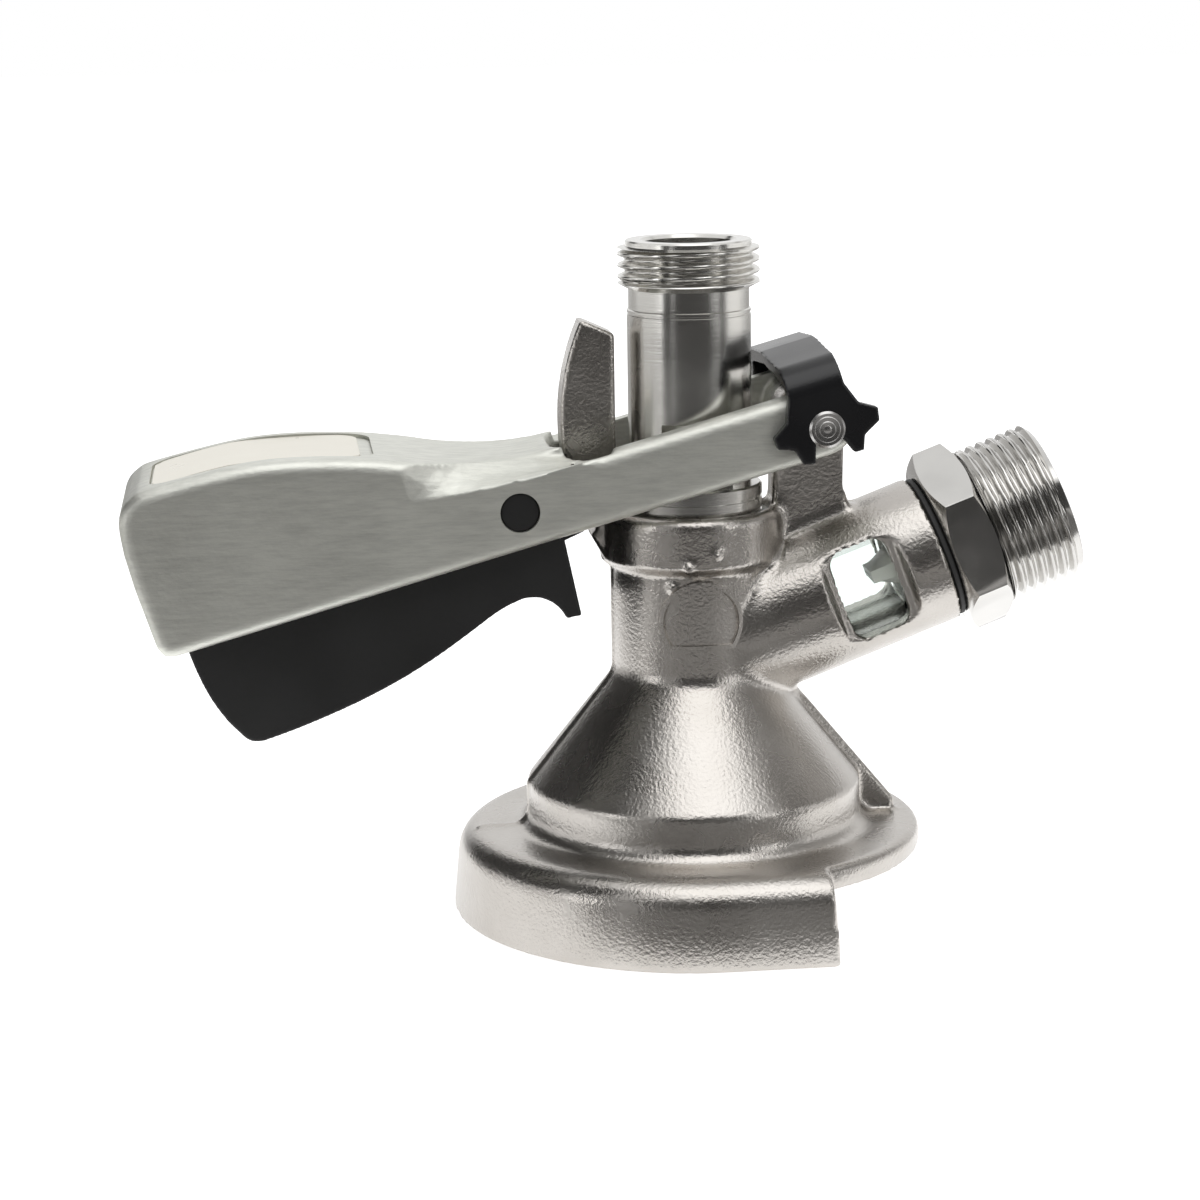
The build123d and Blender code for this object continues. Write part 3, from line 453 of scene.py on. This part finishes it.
def addHorn(piece):  # its outer edge is an arc about the pivot, with a catch for the trigger's hook
    s = casting
    x, z = pivot["x"], pivot["z"]
    foot = 180 + degrees(asin((z - s["hornFoot"]) / s["horn"]))
    backTop = z + (x - s["hornBack"]) * tan(radians(s["hornTop"]))
    outline = arc(x, z, s["horn"], 180 - s["hornTop"], foot, 12)
    outline += [(s["hornFront"], s["collarFoot"]), (s["hornBack"], s["collarFoot"]), (s["hornBack"], backTop)]
    combine(piece, slab("horn", outline, -s["hornDepth"], s["hornDepth"], frontPlane), "UNION")
    first = 180 + pivot["slope"] + s["catchFirst"]
    last = 180 + pivot["slope"] + s["catchLast"]
    catch = arc(x, z, s["horn"] - s["catch"], first, last, 1)
    catch += arc(x, z, s["horn"] + s["catchMouth"], last, first, 1)
    return combine(piece, slab("catchCut", catch, -through, through, frontPlane), "DIFFERENCE")


def addBranch(piece):
    s = casting
    rings = [(0, s["branchRoot"]), (s["branch"], s["branchRoot"]),
             (s["branch"], s["branchEnd"]), (0, s["branchEnd"])]
    combine(piece, place(lathe("branchTube", rings, 128), branchFrame()), "UNION")
    x, z = pivot["x"], pivot["z"]
    front = x + s["plateFront"]
    plate = arc(x, z, s["plateHead"], 0, 180, 18)
    plate += [(x - s["plateBack"], s["neckTop"]), (front + s["plateFoot"], s["neckTop"]),
              (front + s["plateFoot"], s["collarTop"] - lap), (front, s["collarTop"] + s["plateFootTop"])]
    combine(piece, slab("pivotPlate", plate, -s["plateDepth"], s["plateDepth"], frontPlane), "UNION")
    slope = radians(branch["slope"])
    under = branch["z"] + (s["ribTop"] * sin(slope) - s["branch"]) / cos(slope)
    inner, floor = s["neck"] - lap, s["ceiling"] + lap
    rib = [(inner, s["coneTop"]), (s["ribTop"], under), (s["ribFoot"], s["ribFootTop"]),
           (s["ribFoot"], floor), (s["ribInnerFoot"], floor), (inner, s["ribInnerTop"])]
    return combine(piece, slab("rib", rib, -s["ribDepth"], s["ribDepth"], frontPlane), "UNION")


def addCastMarks(piece):  # parting ridge in the plane of symmetry, and three small nubs
    s = casting
    ridge, root, start = s["ridge"], s["ridgeRoot"], s["shoeEdge"] - s["ridgeStart"]
    rings = roundCorners([
        (5, s["shoeTop"] - root, 0), (start, s["shoeTop"] - root, 0), (start, s["shoeTop"] + ridge, 0),
        (s["band"] + ridge, s["shoeTop"] + ridge, s["bandFoot"]),
        (s["band"] + ridge, s["bandTop"] + 0.2, s["bandRound"]),
        (s["neck"] + ridge, s["coneTop"] + 0.1, s["coneRound"]), (s["neck"] + ridge, s["neckTop"] - 0.3, 0),
        (s["collar"] + ridge, s["collarFoot"] - 0.3, 0), (s["collar"] + ridge, s["collarTop"] - root, 0),
        (5, s["collarTop"] - root, 0),
    ])
    outline = [(-x, z) for x, z in rings]
    combine(piece, slab("partingRidge", outline, -s["ridgeHalf"], s["ridgeHalf"], frontPlane), "UNION")
    for x, y, z, radius in nubs:
        deselectAll()
        spot = (x * mm, y * mm, z * mm)
        bpy.ops.mesh.primitive_ico_sphere_add(subdivisions=3, radius=radius * mm, location=spot)
        combine(piece, bpy.context.object, "UNION")
    return piece


def cutSlot(piece):  # the keg's flange slides in along X over two lips
    s = casting
    for radius, low, high in ((s["slot"], s["lipTop"], s["ceiling"]), (s["lip"], -1, s["lipTop"] + 0.1)):
        outline = arc(0, 0, radius, 90, 270, 36) + [(s["slotEnd"], -radius), (s["slotEnd"], radius)]
        combine(piece, slab("slotCut", outline, low, high), "DIFFERENCE")
    low, top = s["ceiling"] - 0.5, s["collarTop"] + 3.2
    chamber = [(0, low), (s["seal"], low), (s["seal"], s["sealTop"]), (s["sealBore"], s["sealTop"]),
               (s["sealBore"], s["chamberFoot"]), (s["chamber"], s["chamberLow"]),
               (s["chamber"], s["chamberHigh"]), (s["bore"], s["boreFoot"]), (s["bore"], top), (0, top)]
    return combine(piece, lathe("chamberCut", chamber, 128), "DIFFERENCE")


def cutBranch(piece):
    s = casting
    end = s["branchEnd"] + 3.2
    low = s["branchShoulder"]
    rings = [(0, low), (s["branchBore"], low), (s["branchBore"], end), (0, end)]
    combine(piece, place(lathe("branchCut", rings, 96), branchFrame()), "DIFFERENCE")
    turn = Matrix.Rotation(radians(-branch["slope"]), 4, "Y")
    side = Matrix.Translation((0, 0, branch["z"] * mm)) @ turn @ frontPlane
    middle, half, height, corner = s["windowMiddle"], s["windowHalf"], s["windowHeight"], s["windowCorner"]
    window = roundedBox(middle - half, middle + half, height, corner)
    combine(piece, slab("windowCut", window, -through, through, side), "DIFFERENCE")
    margin = s["pocketMargin"]
    wide = half + margin
    pocket = roundedBox(middle - wide, middle + wide, height + margin, corner + margin)
    toMiddle = Matrix.Translation((middle * mm, 0, 0))
    for halfTurn in (0, 180):
        face = side @ toMiddle @ Matrix.Rotation(radians(halfTurn), 4, "Y") @ toMiddle.inverted()
        cutter = slab("pocketCut", pocket, s["pocketFloor"], s["pocketTop"], face, s["pocketFlare"])
        combine(piece, cutter, "DIFFERENCE")
    hole = disc("pinCut", pivot["x"], pivot["z"], s["pinHole"], -through, through, 36, frontPlane)
    return combine(piece, hole, "DIFFERENCE")


def blendWeight(point):  # near one where branch, bell, neck, collar and plate meet
    s = casting
    x, y, z = (part / mm for part in point)
    slope = radians(branch["slope"])
    along = x * cos(slope) + (z - branch["z"]) * sin(slope)
    up = -x * sin(slope) + (z - branch["z"]) * cos(slope)
    first, last = joints["along"]
    if not first <= along <= last or x < first or z < joints["low"]:
        return 0
    offBranch = abs((up * up + y * y) ** 0.5 - s["branch"])
    cone = s["neck"] + max(0, s["coneTop"] - z) * joints["cone"]
    offBody = abs((x * x + y * y) ** 0.5 - (s["collar"] if z > s["neckTop"] + 0.6 else cone))
    reach, plateReach = joints["reach"], joints["plateReach"]
    joint = max(0, 1 - offBranch / reach) * max(0, 1 - offBody / reach)
    onPlate = 0
    if joints["plateX"][0] < x < joints["plateX"][1] and joints["plateZ"][0] < z < joints["plateZ"][1]:
        offPlate = abs(abs(y) - s["plateDepth"])
        onPlate = max(0, 1 - offPlate / plateReach) * max(0, 1 - min(offBranch, offBody) / plateReach)
    return min(1, joints["gain"] * max(joint, onPlate))


def softenJoints(piece):
    group = piece.vertex_groups.new(name="joints")
    for vertex in piece.data.vertices:
        weight = blendWeight(vertex.co)
        if weight > 0.02:
            group.add([vertex.index], weight, "REPLACE")
    activate(piece)
    soften = piece.modifiers.new("joints", "SMOOTH")
    soften.factor = 0.5
    soften.iterations = joints["rounds"]
    soften.vertex_group = "joints"
    bake(piece)


def padOutline(inset):  # a round with its foot cut flat
    radius = casting["pad"] - inset
    side = degrees(asin((casting["padFlat"] + inset) / radius))
    return arc(0, 0, radius, side, 180 - side, 40)


def roundNeck(name, radius):  # a drum the size of the pad's face or floor
    return lathe(name, [(0, 30), (radius, 30), (radius, 70), (0, 70)], 160)


def addPad(piece):  # raised, rimmed pad bent round the neck, left bare
    s = casting
    front = Matrix.Translation((s["padX"] * mm, 0, s["padHeight"] * mm)) @ frontPlane
    top = s["neck"] + s["padProud"]
    pad = slab("pad", padOutline(0), s["padFrom"], s["padTo"], front)
    combine(pad, roundNeck("padFace", top), "INTERSECT")
    combine(piece, pad, "UNION")
    floor = slab("padFloor", padOutline(s["padRim"]), s["padFrom"], s["padTo"], front)
    combine(floor, roundNeck("padSunk", top - s["padDrop"]), "DIFFERENCE")
    return combine(piece, floor, "DIFFERENCE")


def makeHousing():
    piece = cutBranch(cutSlot(addCastMarks(addBranch(addHorn(addBell(addShoe()))))))
    piece.name = "castHousing"
    castSoft(piece, casting["voxel"], casting["rounds"], hold=softenJoints)
    combine(piece, lathe("reamer", reamer, 128), "DIFFERENCE")
    addPad(piece)
    settle(piece, "housing", "housing_body", 50)


makeHousing()
print("housing done")

# probe and gas fitting: turned pieces with their real thread turns
threads = {"pitch": 1.814, "depth": 1.16, "rows": 14, "crestShare": 0.08, "flankShare": 0.80, "reach": 0.4}


def threadRows(low, high):  # heights close enough together to hold the turns
    count = round((high - low) / threads["pitch"] * threads["rows"])
    return [low + (high - low) * i / count for i in range(count + 1)]


def cutThread(piece, low, high, crest, lead, runout):  # moves the crest cylinder's points inwards
    for vertex in piece.data.vertices:
        x, y, z = (part / mm for part in vertex.co)
        radius = (x * x + y * y) ** 0.5
        if not low <= z <= high or radius <= crest - threads["depth"] - threads["reach"]:
            continue
        turn = (z / threads["pitch"] - atan2(y, x) / (2 * pi)) % 1
        peak = clamp((abs(2 * turn - 1) - threads["crestShare"]) / threads["flankShare"])
        groove = threads["depth"] * (1 - ease(peak))
        fade = min(1, max(0, (z - low) / runout), max(0, (high + lead - z) / lead))
        factor = min(radius, crest - groove * fade) / radius
        vertex.co.x *= factor
        vertex.co.y *= factor


probeSizes = {
    "tip": 4.0, "stem": 8.2, "stemTop": 38.0, "stemCone": 1.2, "body": 11.65,
    "slotLow": 70.8, "slotHigh": 81.3,
    "slotChamfer": 0.3, "marks": (66.8, 68.9), "markDepth": 0.25, "markWidth": 0.5, "markEdge": 0.05,
    "tube": 10.0, "tubeTop": 99.1, "tubeMark": 0.18, "relief": 9.75, "threadLow": 102.3, "threadStart": 0.9,
    "threadEnd": 1.2, "crest": 11.455, "top": 110.1, "rim": 10.25, "rimEdge": 0.25, "socket": 7.24,
    "socketLow": 92.1, "socketEdge": 0.5, "bore": 5.0, "boreCone": 2, "chamber": 6.6, "chamberTop": 24.0,
    "flat": 8.2, "mill": 20, "millWidth": 1.2,
}


def makeProbe():
    s = probeSizes
    low, high = s["threadLow"] + s["threadStart"], s["top"] - s["threadEnd"]
    body, tube, tubeTop = s["body"], s["tube"], s["tubeTop"]
    floor, edge, ground = body - s["markDepth"], s["markEdge"], tube - s["tubeMark"]
    rings = [(s["chamber"], s["tip"]), (s["stem"], s["tip"]), (s["stem"], s["stemTop"]),
             (body, s["stemTop"] + s["stemCone"])]
    for mark in s["marks"]:
        start = mark - s["markWidth"]
        rings += [(body, start), (floor, start + edge), (floor, mark - edge), (body, mark)]
    rings += [
        (body, s["slotLow"] - s["slotChamfer"]), (body - s["slotChamfer"], s["slotLow"]),
        (tube, s["slotLow"]),
        (tube, tubeTop - 0.95), (ground, tubeTop - 0.9), (ground, tubeTop - 0.6),
        (tube, tubeTop - 0.55), (tube, tubeTop - 0.15), (s["relief"], tubeTop), (s["relief"], s["threadLow"]),
    ]
    rings += [(s["crest"], z) for z in threadRows(low, high)]
    rings += [
        (s["rim"], s["top"] - 0.9), (s["rim"], s["top"] - s["rimEdge"]), (s["rim"] - s["rimEdge"], s["top"]),
        (s["socket"] + s["socketEdge"], s["top"]), (s["socket"], s["top"] - s["socketEdge"]),
        (s["socket"], s["socketLow"]), (s["bore"], s["socketLow"] - s["boreCone"]),
        (s["bore"], s["chamberTop"]), (s["chamber"], s["chamberTop"]),
    ]
    piece = lathe("turnedProbe", rings, 160, closed=True)
    cutThread(piece, low, high, s["crest"], 0.5, 0.9)
    height = (s["slotLow"] + s["slotHigh"]) / 2
    for side in (1, -1):  # flats for the lever's lugs
        deselectAll()
        spot = (0, side * (s["flat"] + s["mill"] / 2) * mm, height * mm)
        bpy.ops.mesh.primitive_cube_add(size=s["mill"] * mm, location=spot)
        mill = bpy.context.object
        mill.scale = (s["millWidth"], 1, (s["slotHigh"] - s["slotLow"]) / s["mill"])
        combine(piece, bake(mill), "DIFFERENCE")
    settle(piece, "probe", "probe_body", 32)


gasSizes = {
    "spigotLow": 37.0, "spigot": 9.3, "hexLow": 44.0, "hexLength": 7.7, "flats": 27.0, "turn": -3.9,
    "hexSlope": 0.577, "hexEdge": 0.2, "faceEdge": 0.3, "crest": 13.22, "root": 1.1,
    "end": 64.6, "endFace": 0.15, "chamfer": 0.9, "bore": 8.2, "boreEdge": 0.6,
    "valveBore": 5.2, "valveSeat": 6.45, "seatDepth": 1.4,
}


def makeGasFitting():
    s = gasSizes
    hexLow, hexHigh = s["hexLow"], s["hexLow"] + s["hexLength"]
    low, high = hexHigh + 0.3, s["end"] - s["chamfer"]
    root, face = s["crest"] - s["root"], s["crest"] - s["chamfer"]
    rings = [(0, s["spigotLow"]), (s["spigot"], s["spigotLow"]), (s["spigot"], hexLow + 1),
             (root, hexLow + 1), (root, hexHigh + 0.2)]
    rings += [(s["crest"], z) for z in threadRows(low, high)]
    rings += [(face, s["end"] - s["endFace"]), (face - s["faceEdge"], s["end"]), (0, s["end"])]
    piece = lathe("turnedGasFitting", rings, 192)
    cutThread(piece, hexHigh + 0.25, high, s["crest"], 0.9, 0.7)
    corner, across = s["flats"] / 3 ** 0.5, s["flats"] / 2
    fall = (corner - across) * s["hexSlope"] + s["hexEdge"]
    across -= s["faceEdge"]
    nut = lathe("nut", [(0, hexLow), (across, hexLow), (corner, hexLow + fall), (corner, hexHigh - fall),
                        (across, hexHigh), (0, hexHigh)], 96)
    deselectAll()
    bpy.ops.mesh.primitive_cylinder_add(vertices=6, radius=corner * mm, depth=2 * s["hexLength"] * mm,
                                        location=(0, 0, (hexLow + hexHigh) / 2 * mm))
    prism = bpy.context.object
    prism.rotation_euler = (0, 0, radians(s["turn"]))
    combine(nut, bake(prism), "INTERSECT")
    combine(piece, nut, "UNION")
    seat, wide = s["spigotLow"] + s["seatDepth"], s["bore"] + s["boreEdge"]
    bore = lathe("bore", [(0, 30), (s["valveSeat"], 30), (s["valveSeat"], seat), (s["valveBore"], seat),
                          (s["valveBore"], hexLow), (s["bore"], hexLow), (s["bore"], s["end"] - 0.5),
                          (wide, s["end"] + 0.1), (wide, 70), (0, 70)], 96)
    combine(piece, bore, "DIFFERENCE")
    place(piece, branchFrame() @ Matrix.Rotation(radians(90), 4, "Z"))
    settle(piece, "gas_fitting", "housing_body", 32)


washer = {"inner": 9.6, "outer": 11.9, "low": 42.85, "high": 43.95, "edge": 0.25, "roundness": 0.4}


def makeWasher():  # clamped between branch and hexagon
    w = washer
    rounded = w["outer"] - w["roundness"]
    rings = [(w["inner"], w["low"]), (rounded, w["low"]), (w["outer"], w["low"] + w["edge"]),
             (w["outer"], w["high"] - w["edge"]), (rounded, w["high"]), (w["inner"], w["high"])]
    piece = lathe("squeezedWasher", rings, 96, closed=True)
    place(piece, branchFrame())
    settle(piece, "gas_washer", "housing_body")


# radius and depth of the turned rings on the pin's ends
pinEnd = [(0, 0), (0.5, 0), (0.65, 0.07), (1.2, 0.02), (1.35, 0.1), (1.95, 0.04), (2.1, 0.12), (2.55, 0.08),
          (3.0, 0.5)]


def makePivotPin():
    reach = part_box("pivot_pin")[1][1] / mm
    rings = [(radius, depth - reach) for radius, depth in pinEnd]
    rings += [(radius, reach - depth) for radius, depth in reversed(pinEnd)]
    piece = lathe("turnedPin", rings, 64)
    place(piece, Matrix.Translation((pivot["x"] * mm, 0, pivot["z"] * mm)) @ frontPlane)
    settle(piece, "pivot_pin", "lever_body", 30)


makeProbe()
makeGasFitting()
makeWasher()
makePivotPin()
print("turned pieces done")

# lever: handle outline with soft edges, valleys beside the ridge, fork, hollow, lugs and bosses
grip = {
    "end": 110.9, "crown": 21.7, "crownBack": 7.7, "low": 4.9, "high": 6.1, "half": 16.0, "arm": 12.0,
    "edge": 2.0, "tip": 5.5, "tipRise": 0.6, "ridge": 37.5, "ridgeHeight": 8.0, "ridgeHalf": 8.8,
    "valley": 66.0, "valleyHeight": 13.5, "valleyRise": 1.9, "valleyStep": 3.0, "valleyCount": 12,
    "valleyBow": 0.14, "valleySkin": 0.05, "valleyEnd": 4, "valleyFade": 8, "valleyTop": 44, "valleyWide": 21,
    "fork": 42.0, "forkRound": 8.5, "hollowLead": 3.0, "hollowDrop": 0.7, "hollowEnd": 8.7, "web": 2.6,
    "endWall": 2.9, "lugAt": 19.9, "lug": 4.7, "lugInner": 8.6, "boss": 5.2, "bossInner": 3.9,
    "pinHole": 3.05, "triggerAt": 49.9, "triggerRise": 1.2, "triggerHole": 3.15,
    "label": 69.6, "labelLength": 34.0, "labelHalf": 11.4, "labelCorner": 3.2, "labelGap": 0.45,
    "recess": 0.6,
    "voxel": 0.40, "rounds": 5,
}
noseOffsets = ((3.9, 0.55), (1.75, 2.1), (0.65, 4.6))  # in from the end, down from the crown
heelOffsets = ((0.4, 2.2), (1.1, 0.5), (2.8, 0))  # in from the end, up from the lower edge
# shares of the run and rise of the handle's top and of its hollow
crownShares = ((0.0, 0.0), (0.15, 0.05), (0.315, 0.25), (0.525, 0.645), (0.755, 0.93), (1.0, 1.0))
hollowShares = ((0, 0), (0.07, 0.05), (0.25, 0.23), (0.48, 0.62), (0.73, 0.92), (1, 1))


def smoothLine(points, steps=8):  # a curve that passes through every point
    line = []
    ends = [points[0]] + list(points) + [points[-1]]
    for a, b, c, d in zip(ends, ends[1:], ends[2:], ends[3:]):
        for t in (k / steps for k in range(steps)):
            line.append(tuple(
                0.5 * (2 * q + (r - p) * t + (2 * p - 5 * q + 4 * r - s) * t * t
                       + (3 * q - p - 3 * r + s) * t ** 3)
                for p, q, r, s in zip(a, b, c, d)))
    return line + [points[-1]]


def gripOutline(sink=0):  # along the lever and up from the pivot
    g = grip
    run, rise = g["end"] - g["crownBack"] - g["ridge"], g["crown"] - g["ridgeHeight"]
    top = [(-g["ridge"] - a * run, g["ridgeHeight"] + b * rise) for a, b in crownShares]
    end, crown, low = g["end"], g["crown"], -g["low"]
    nose = [(a - end, crown - b) for a, b in noseOffsets] + [(0.1 - end, crown * 0.6)]
    heel = [(-end, crown / 3)] + [(a - end, low + b) for a, b in heelOffsets]
    tip = arc(0, g["tipRise"], g["tip"], -90, 90, 12)
    points = smoothLine(top + nose) + heel + tip + [(2.5 - g["ridge"], g["high"])]
    return [(x, y - sink) for x, y in points]


def cutValley(piece, side):  # lofted cutter from the handle's flank to the straight arm edge
    g = grip
    sections = []
    for step in range(g["valleyCount"]):
        x = step * g["valleyStep"] - g["valley"]
        left = (1 - min(1, (x + g["valley"]) / (g["valley"] - g["ridge"]))) ** 2
        edge = g["ridgeHalf"] + left * (g["half"] - g["ridgeHalf"]) - g["valleySkin"]
        foot = g["high"] + left * g["valleyRise"]
        top = g["ridgeHeight"] + left * (g["valleyHeight"] - g["ridgeHeight"])
        fade = ease(clamp((x + g["fork"] + g["valleyEnd"]) / g["valleyFade"]))
        top -= fade * (top - foot - g["valleySkin"])
        bow = g["valleyBow"] * (1 - left) * (g["half"] - edge)
        outline = [(g["half"], foot), ((g["half"] + edge) / 2, (foot + top) / 2 - bow), (edge, top),
                   (edge, g["valleyTop"]), (g["valleyWide"], g["valleyTop"]), (g["valleyWide"], foot)]
        sections.append(chain("valley", [(x, y, z) for z, y in outline], True))
    cutter = join(sections, "valleyCut")
    bpy.ops.object.mode_set(mode="EDIT")
    bpy.ops.mesh.select_all(action="SELECT")
    bpy.ops.mesh.bridge_edge_loops()
    bpy.ops.mesh.select_all(action="SELECT")
    bpy.ops.mesh.fill_holes(sides=0)
    if side < 0:
        bpy.ops.transform.resize(value=(1, 1, -1), center_override=(0, 0, 0))
    bpy.ops.object.mode_set(mode="OBJECT")
    mergePoints(cutter)
    return combine(piece, cutter, "DIFFERENCE")


def makeLever():
    g = grip
    piece = slab("castLever", gripOutline(), -g["half"], g["half"])
    soft = piece.modifiers.new("edge", "BEVEL")
    soft.width = g["edge"] * mm
    soft.segments = 4
    soft.limit_method = "ANGLE"
    soft.angle_limit = radians(60)
    soft.use_clamp_overlap = False
    bake(piece)
    mergePoints(piece)
    for side in (1, -1):
        cutValley(piece, side)
    flat = Matrix.Rotation(radians(-90), 4, "X")  # plan view of the lever: local y runs across
    root, arm, web = -g["fork"], g["arm"], g["ridgeHeight"] - g["web"]
    corner = g["forkRound"]
    fork = roundCorners([(root, -arm, corner), (20, -arm, 0), (20, arm, 0), (root, arm, corner)])
    combine(piece, slab("forkCut", fork, -30, 30, flat), "DIFFERENCE")
    run = g["end"] - g["crownBack"] - g["fork"]
    rise = g["crown"] - g["hollowDrop"] - g["ridgeHeight"]
    roof = smoothLine([(root - a * run, web + b * rise) for a, b in hollowShares])
    wall, foot, lead = g["endWall"] - g["end"], -g["low"] - 2, root + g["hollowLead"]
    hollow = roof + [(wall, g["crown"] - g["hollowEnd"]), (wall, foot), (lead, foot), (lead, web)]
    combine(piece, slab("hollowCut", hollow, -arm, arm), "DIFFERENCE")
    for side in (1, -1):
        for x, radius, inner in ((-g["lugAt"], g["lug"], g["lugInner"]), (0, g["boss"], g["bossInner"])):
            low, high = sorted((side * inner, side * (arm + 0.5)))
            combine(piece, disc("lug", x, 0, radius, low, high), "UNION")
    castSoft(piece, g["voxel"], g["rounds"], 190000)
    for x, y, radius in ((0, 0, g["pinHole"]), (-g["triggerAt"], g["triggerRise"], g["triggerHole"])):
        combine(piece, disc("hole", x, y, radius, -20, 20), "DIFFERENCE")
    gap = g["labelGap"]
    field = roundedBox(-g["label"] - g["labelLength"] - gap, gap - g["label"], g["labelHalf"] + gap,
                       g["labelCorner"] + gap)
    recess = slab("labelRecess", field, 8, 40, flat)
    combine(recess, slab("labelFloor", gripOutline(g["recess"]), -20, 20), "DIFFERENCE")
    combine(piece, recess, "DIFFERENCE")
    place(piece, sideFrame())
    settle(piece, "lever", "lever_body", 50)


makeLever()
print("lever done")

# trigger and clip: soft edges of moulded pieces
softPieces = {
    "trigger": {"name": "mouldedTrigger", "body": "trigger_body", "voxel": 0.36},
    "pin_clip": {"name": "mouldedClip", "body": "lever_body", "voxel": 0.22},
}
for node, soft in softPieces.items():
    piece = castSoft(copyNode(node, soft["name"]), soft["voxel"], 4)
    settle(piece, node, soft["body"], 60)
print("cast and moulded pieces done")

# studio: seamless white, soft lamps and dark cards that only metal sees
studio = {"floorSize": 8.0, "floor": 0.88, "floorGlow": 0.75, "fill": 0.72, "glossy": 1.0}


def rayMix(tree, names):  # one where the ray is of any of these kinds
    rays = tree.nodes.new("ShaderNodeLightPath")
    last = rays.outputs[names[0]]
    for name in names[1:]:
        more = tree.nodes.new("ShaderNodeMath")
        more.operation = "ADD"
        more.use_clamp = True
        tree.links.new(last, more.inputs[0])
        tree.links.new(rays.outputs[name], more.inputs[1])
        last = more.outputs["Value"]
    return last


def paint(card, name, tone, glow):  # dull surface that can also glow
    material = bpy.data.materials.new(name)
    material.use_nodes = True
    shader = material.node_tree.nodes["Principled BSDF"]
    shader.inputs["Base Color"].default_value = (tone, tone, tone, 1)
    shader.inputs["Roughness"].default_value = 1
    shader.inputs["Specular IOR Level"].default_value = 0
    shader.inputs["Emission Color"].default_value = (*glow, 1)
    card.data.materials.append(material)
    return material.node_tree, shader


def makeFloor():
    deselectAll()
    bpy.ops.mesh.primitive_plane_add(size=studio["floorSize"], location=(0, 0, 0))
    floor = bpy.context.object
    floor.name = "floor"
    tree, shader = paint(floor, "paleFloor", studio["floor"], (1, 1, 1))
    seen = rayMix(tree, ["Is Camera Ray", "Is Glossy Ray", "Is Transmission Ray"])
    tree.links.new(spread(tree, seen, 0, studio["floorGlow"], 0, 1), shader.inputs["Emission Strength"])


def makeWorld():
    world = bpy.data.worlds.new("studio")
    bpy.context.scene.world = world
    world.use_nodes = True
    tree = world.node_tree
    back = tree.nodes["Background"]
    back.inputs["Color"].default_value = (1, 1, 1, 1)
    direct = rayMix(tree, ["Is Camera Ray", "Is Transmission Ray"])
    glossy = spread(tree, rayMix(tree, ["Is Glossy Ray"]), studio["fill"], studio["glossy"], 0, 1)
    pick = tree.nodes.new("ShaderNodeMath")
    pick.operation = "MAXIMUM"
    tree.links.new(direct, pick.inputs[0])
    tree.links.new(glossy, pick.inputs[1])
    tree.links.new(pick.outputs["Value"], back.inputs["Strength"])


def facing(spot, target):
    return (Vector(target) - Vector(spot)).to_track_quat("-Z", "Y").to_euler()


def addLamp(name, spot, target, size, power):
    data = bpy.data.lights.new(name, "AREA")
    data.shape = "RECTANGLE"
    data.size, data.size_y = size
    data.energy = power
    lamp = bpy.data.objects.new(name, data)
    bpy.context.scene.collection.objects.link(lamp)
    lamp.location = spot
    lamp.rotation_euler = facing(spot, target)


def addFlag(name, spot, target, size, shade):  # a dark card, as on a photo table
    deselectAll()
    bpy.ops.mesh.primitive_plane_add(size=1, location=(0, 0, 0))
    card = bpy.context.object
    card.name = name
    card.scale = (*size, 1)
    card.rotation_euler = facing(spot, target)
    card.location = spot
    bake(card)
    shader = paint(card, name, 0, (1, 0.98, 0.96))[1]
    shader.inputs["Emission Strength"].default_value = shade
    card.visible_camera = False
    card.visible_diffuse = False
    card.visible_shadow = False
    card.visible_transmission = False
middle = (0.0, 0, 0.055)
lamps = (
    ("topSoft", (0.06, -0.40, 0.95), (0.75, 0.85), 2.0),
    ("leftStrip", (-0.95, -0.50, 0.25), (0.15, 0.50), 0.5),
    ("rightStrip", (0.80, -0.75, 0.35), (0.18, 0.50), 0.5),
)
flags = (
    ("frontCard", (0.0, -1.05, 0.38), (1.5, 0.8), 0.07),
    ("frontLeft", (-0.85, -0.72, 0.25), (0.30, 0.70), 0.03),
    ("frontRight", (0.90, -0.55, 0.25), (0.30, 0.70), 0.04),
    ("leftCard", (-1.0, 0.25, 0.62), (0.9, 0.8), 0.04),
    ("overLeft", (-0.80, -0.25, 0.72), (0.75, 0.90), 0.04),
    ("overRight", (0.85, -0.25, 0.75), (0.50, 0.80), 0.25),
    ("rightCard", (1.0, 0.25, 0.60), (0.8, 0.7), 0.45),
    ("backLeft", (-0.72, 0.80, 0.42), (0.80, 0.75), 0.05),
    ("tableFoot", (0.0, -0.09, 0.0012), (0.7, 0.08), 0.20),
    ("tableNear", (0.0, -0.20, 0.0011), (0.9, 0.14), 0.50),
    ("tableFront", (0.0, -0.80, 0.001), (1.8, 1.06), 0.08),
    ("tableBack", (0.0, 0.62, 0.0011), (1.8, 0.80), 0.45),
    ("tableLeft", (-0.62, 0.05, 0.001), (0.9, 0.64), 0.55),
    ("tableRight", (0.62, 0.05, 0.001), (0.9, 0.64), 0.90),
)
makeFloor()
makeWorld()
for name, spot, size, power in lamps:
    addLamp(name, spot, middle, size, power)
for name, spot, size, shade in flags:
    aim = (spot[0], spot[1], 1) if name.startswith("table") else middle
    addFlag(name, spot, aim, size, shade)

cameraData = bpy.data.cameras.new("photoCamera")
cameraData.sensor_width = 36
cameraData.lens = 91.02
cameraData.clip_start = 0.01
camera = bpy.data.objects.new("photoCamera", cameraData)
bpy.context.scene.collection.objects.link(camera)
camera.location = (-0.069384, -0.482715, 0.154123)
camera.rotation_euler = (radians(78.0691), radians(0.8738), radians(-6.5998))
bpy.context.scene.camera = camera
bpy.context.scene.view_settings.view_transform = "Standard"
print("studio done")
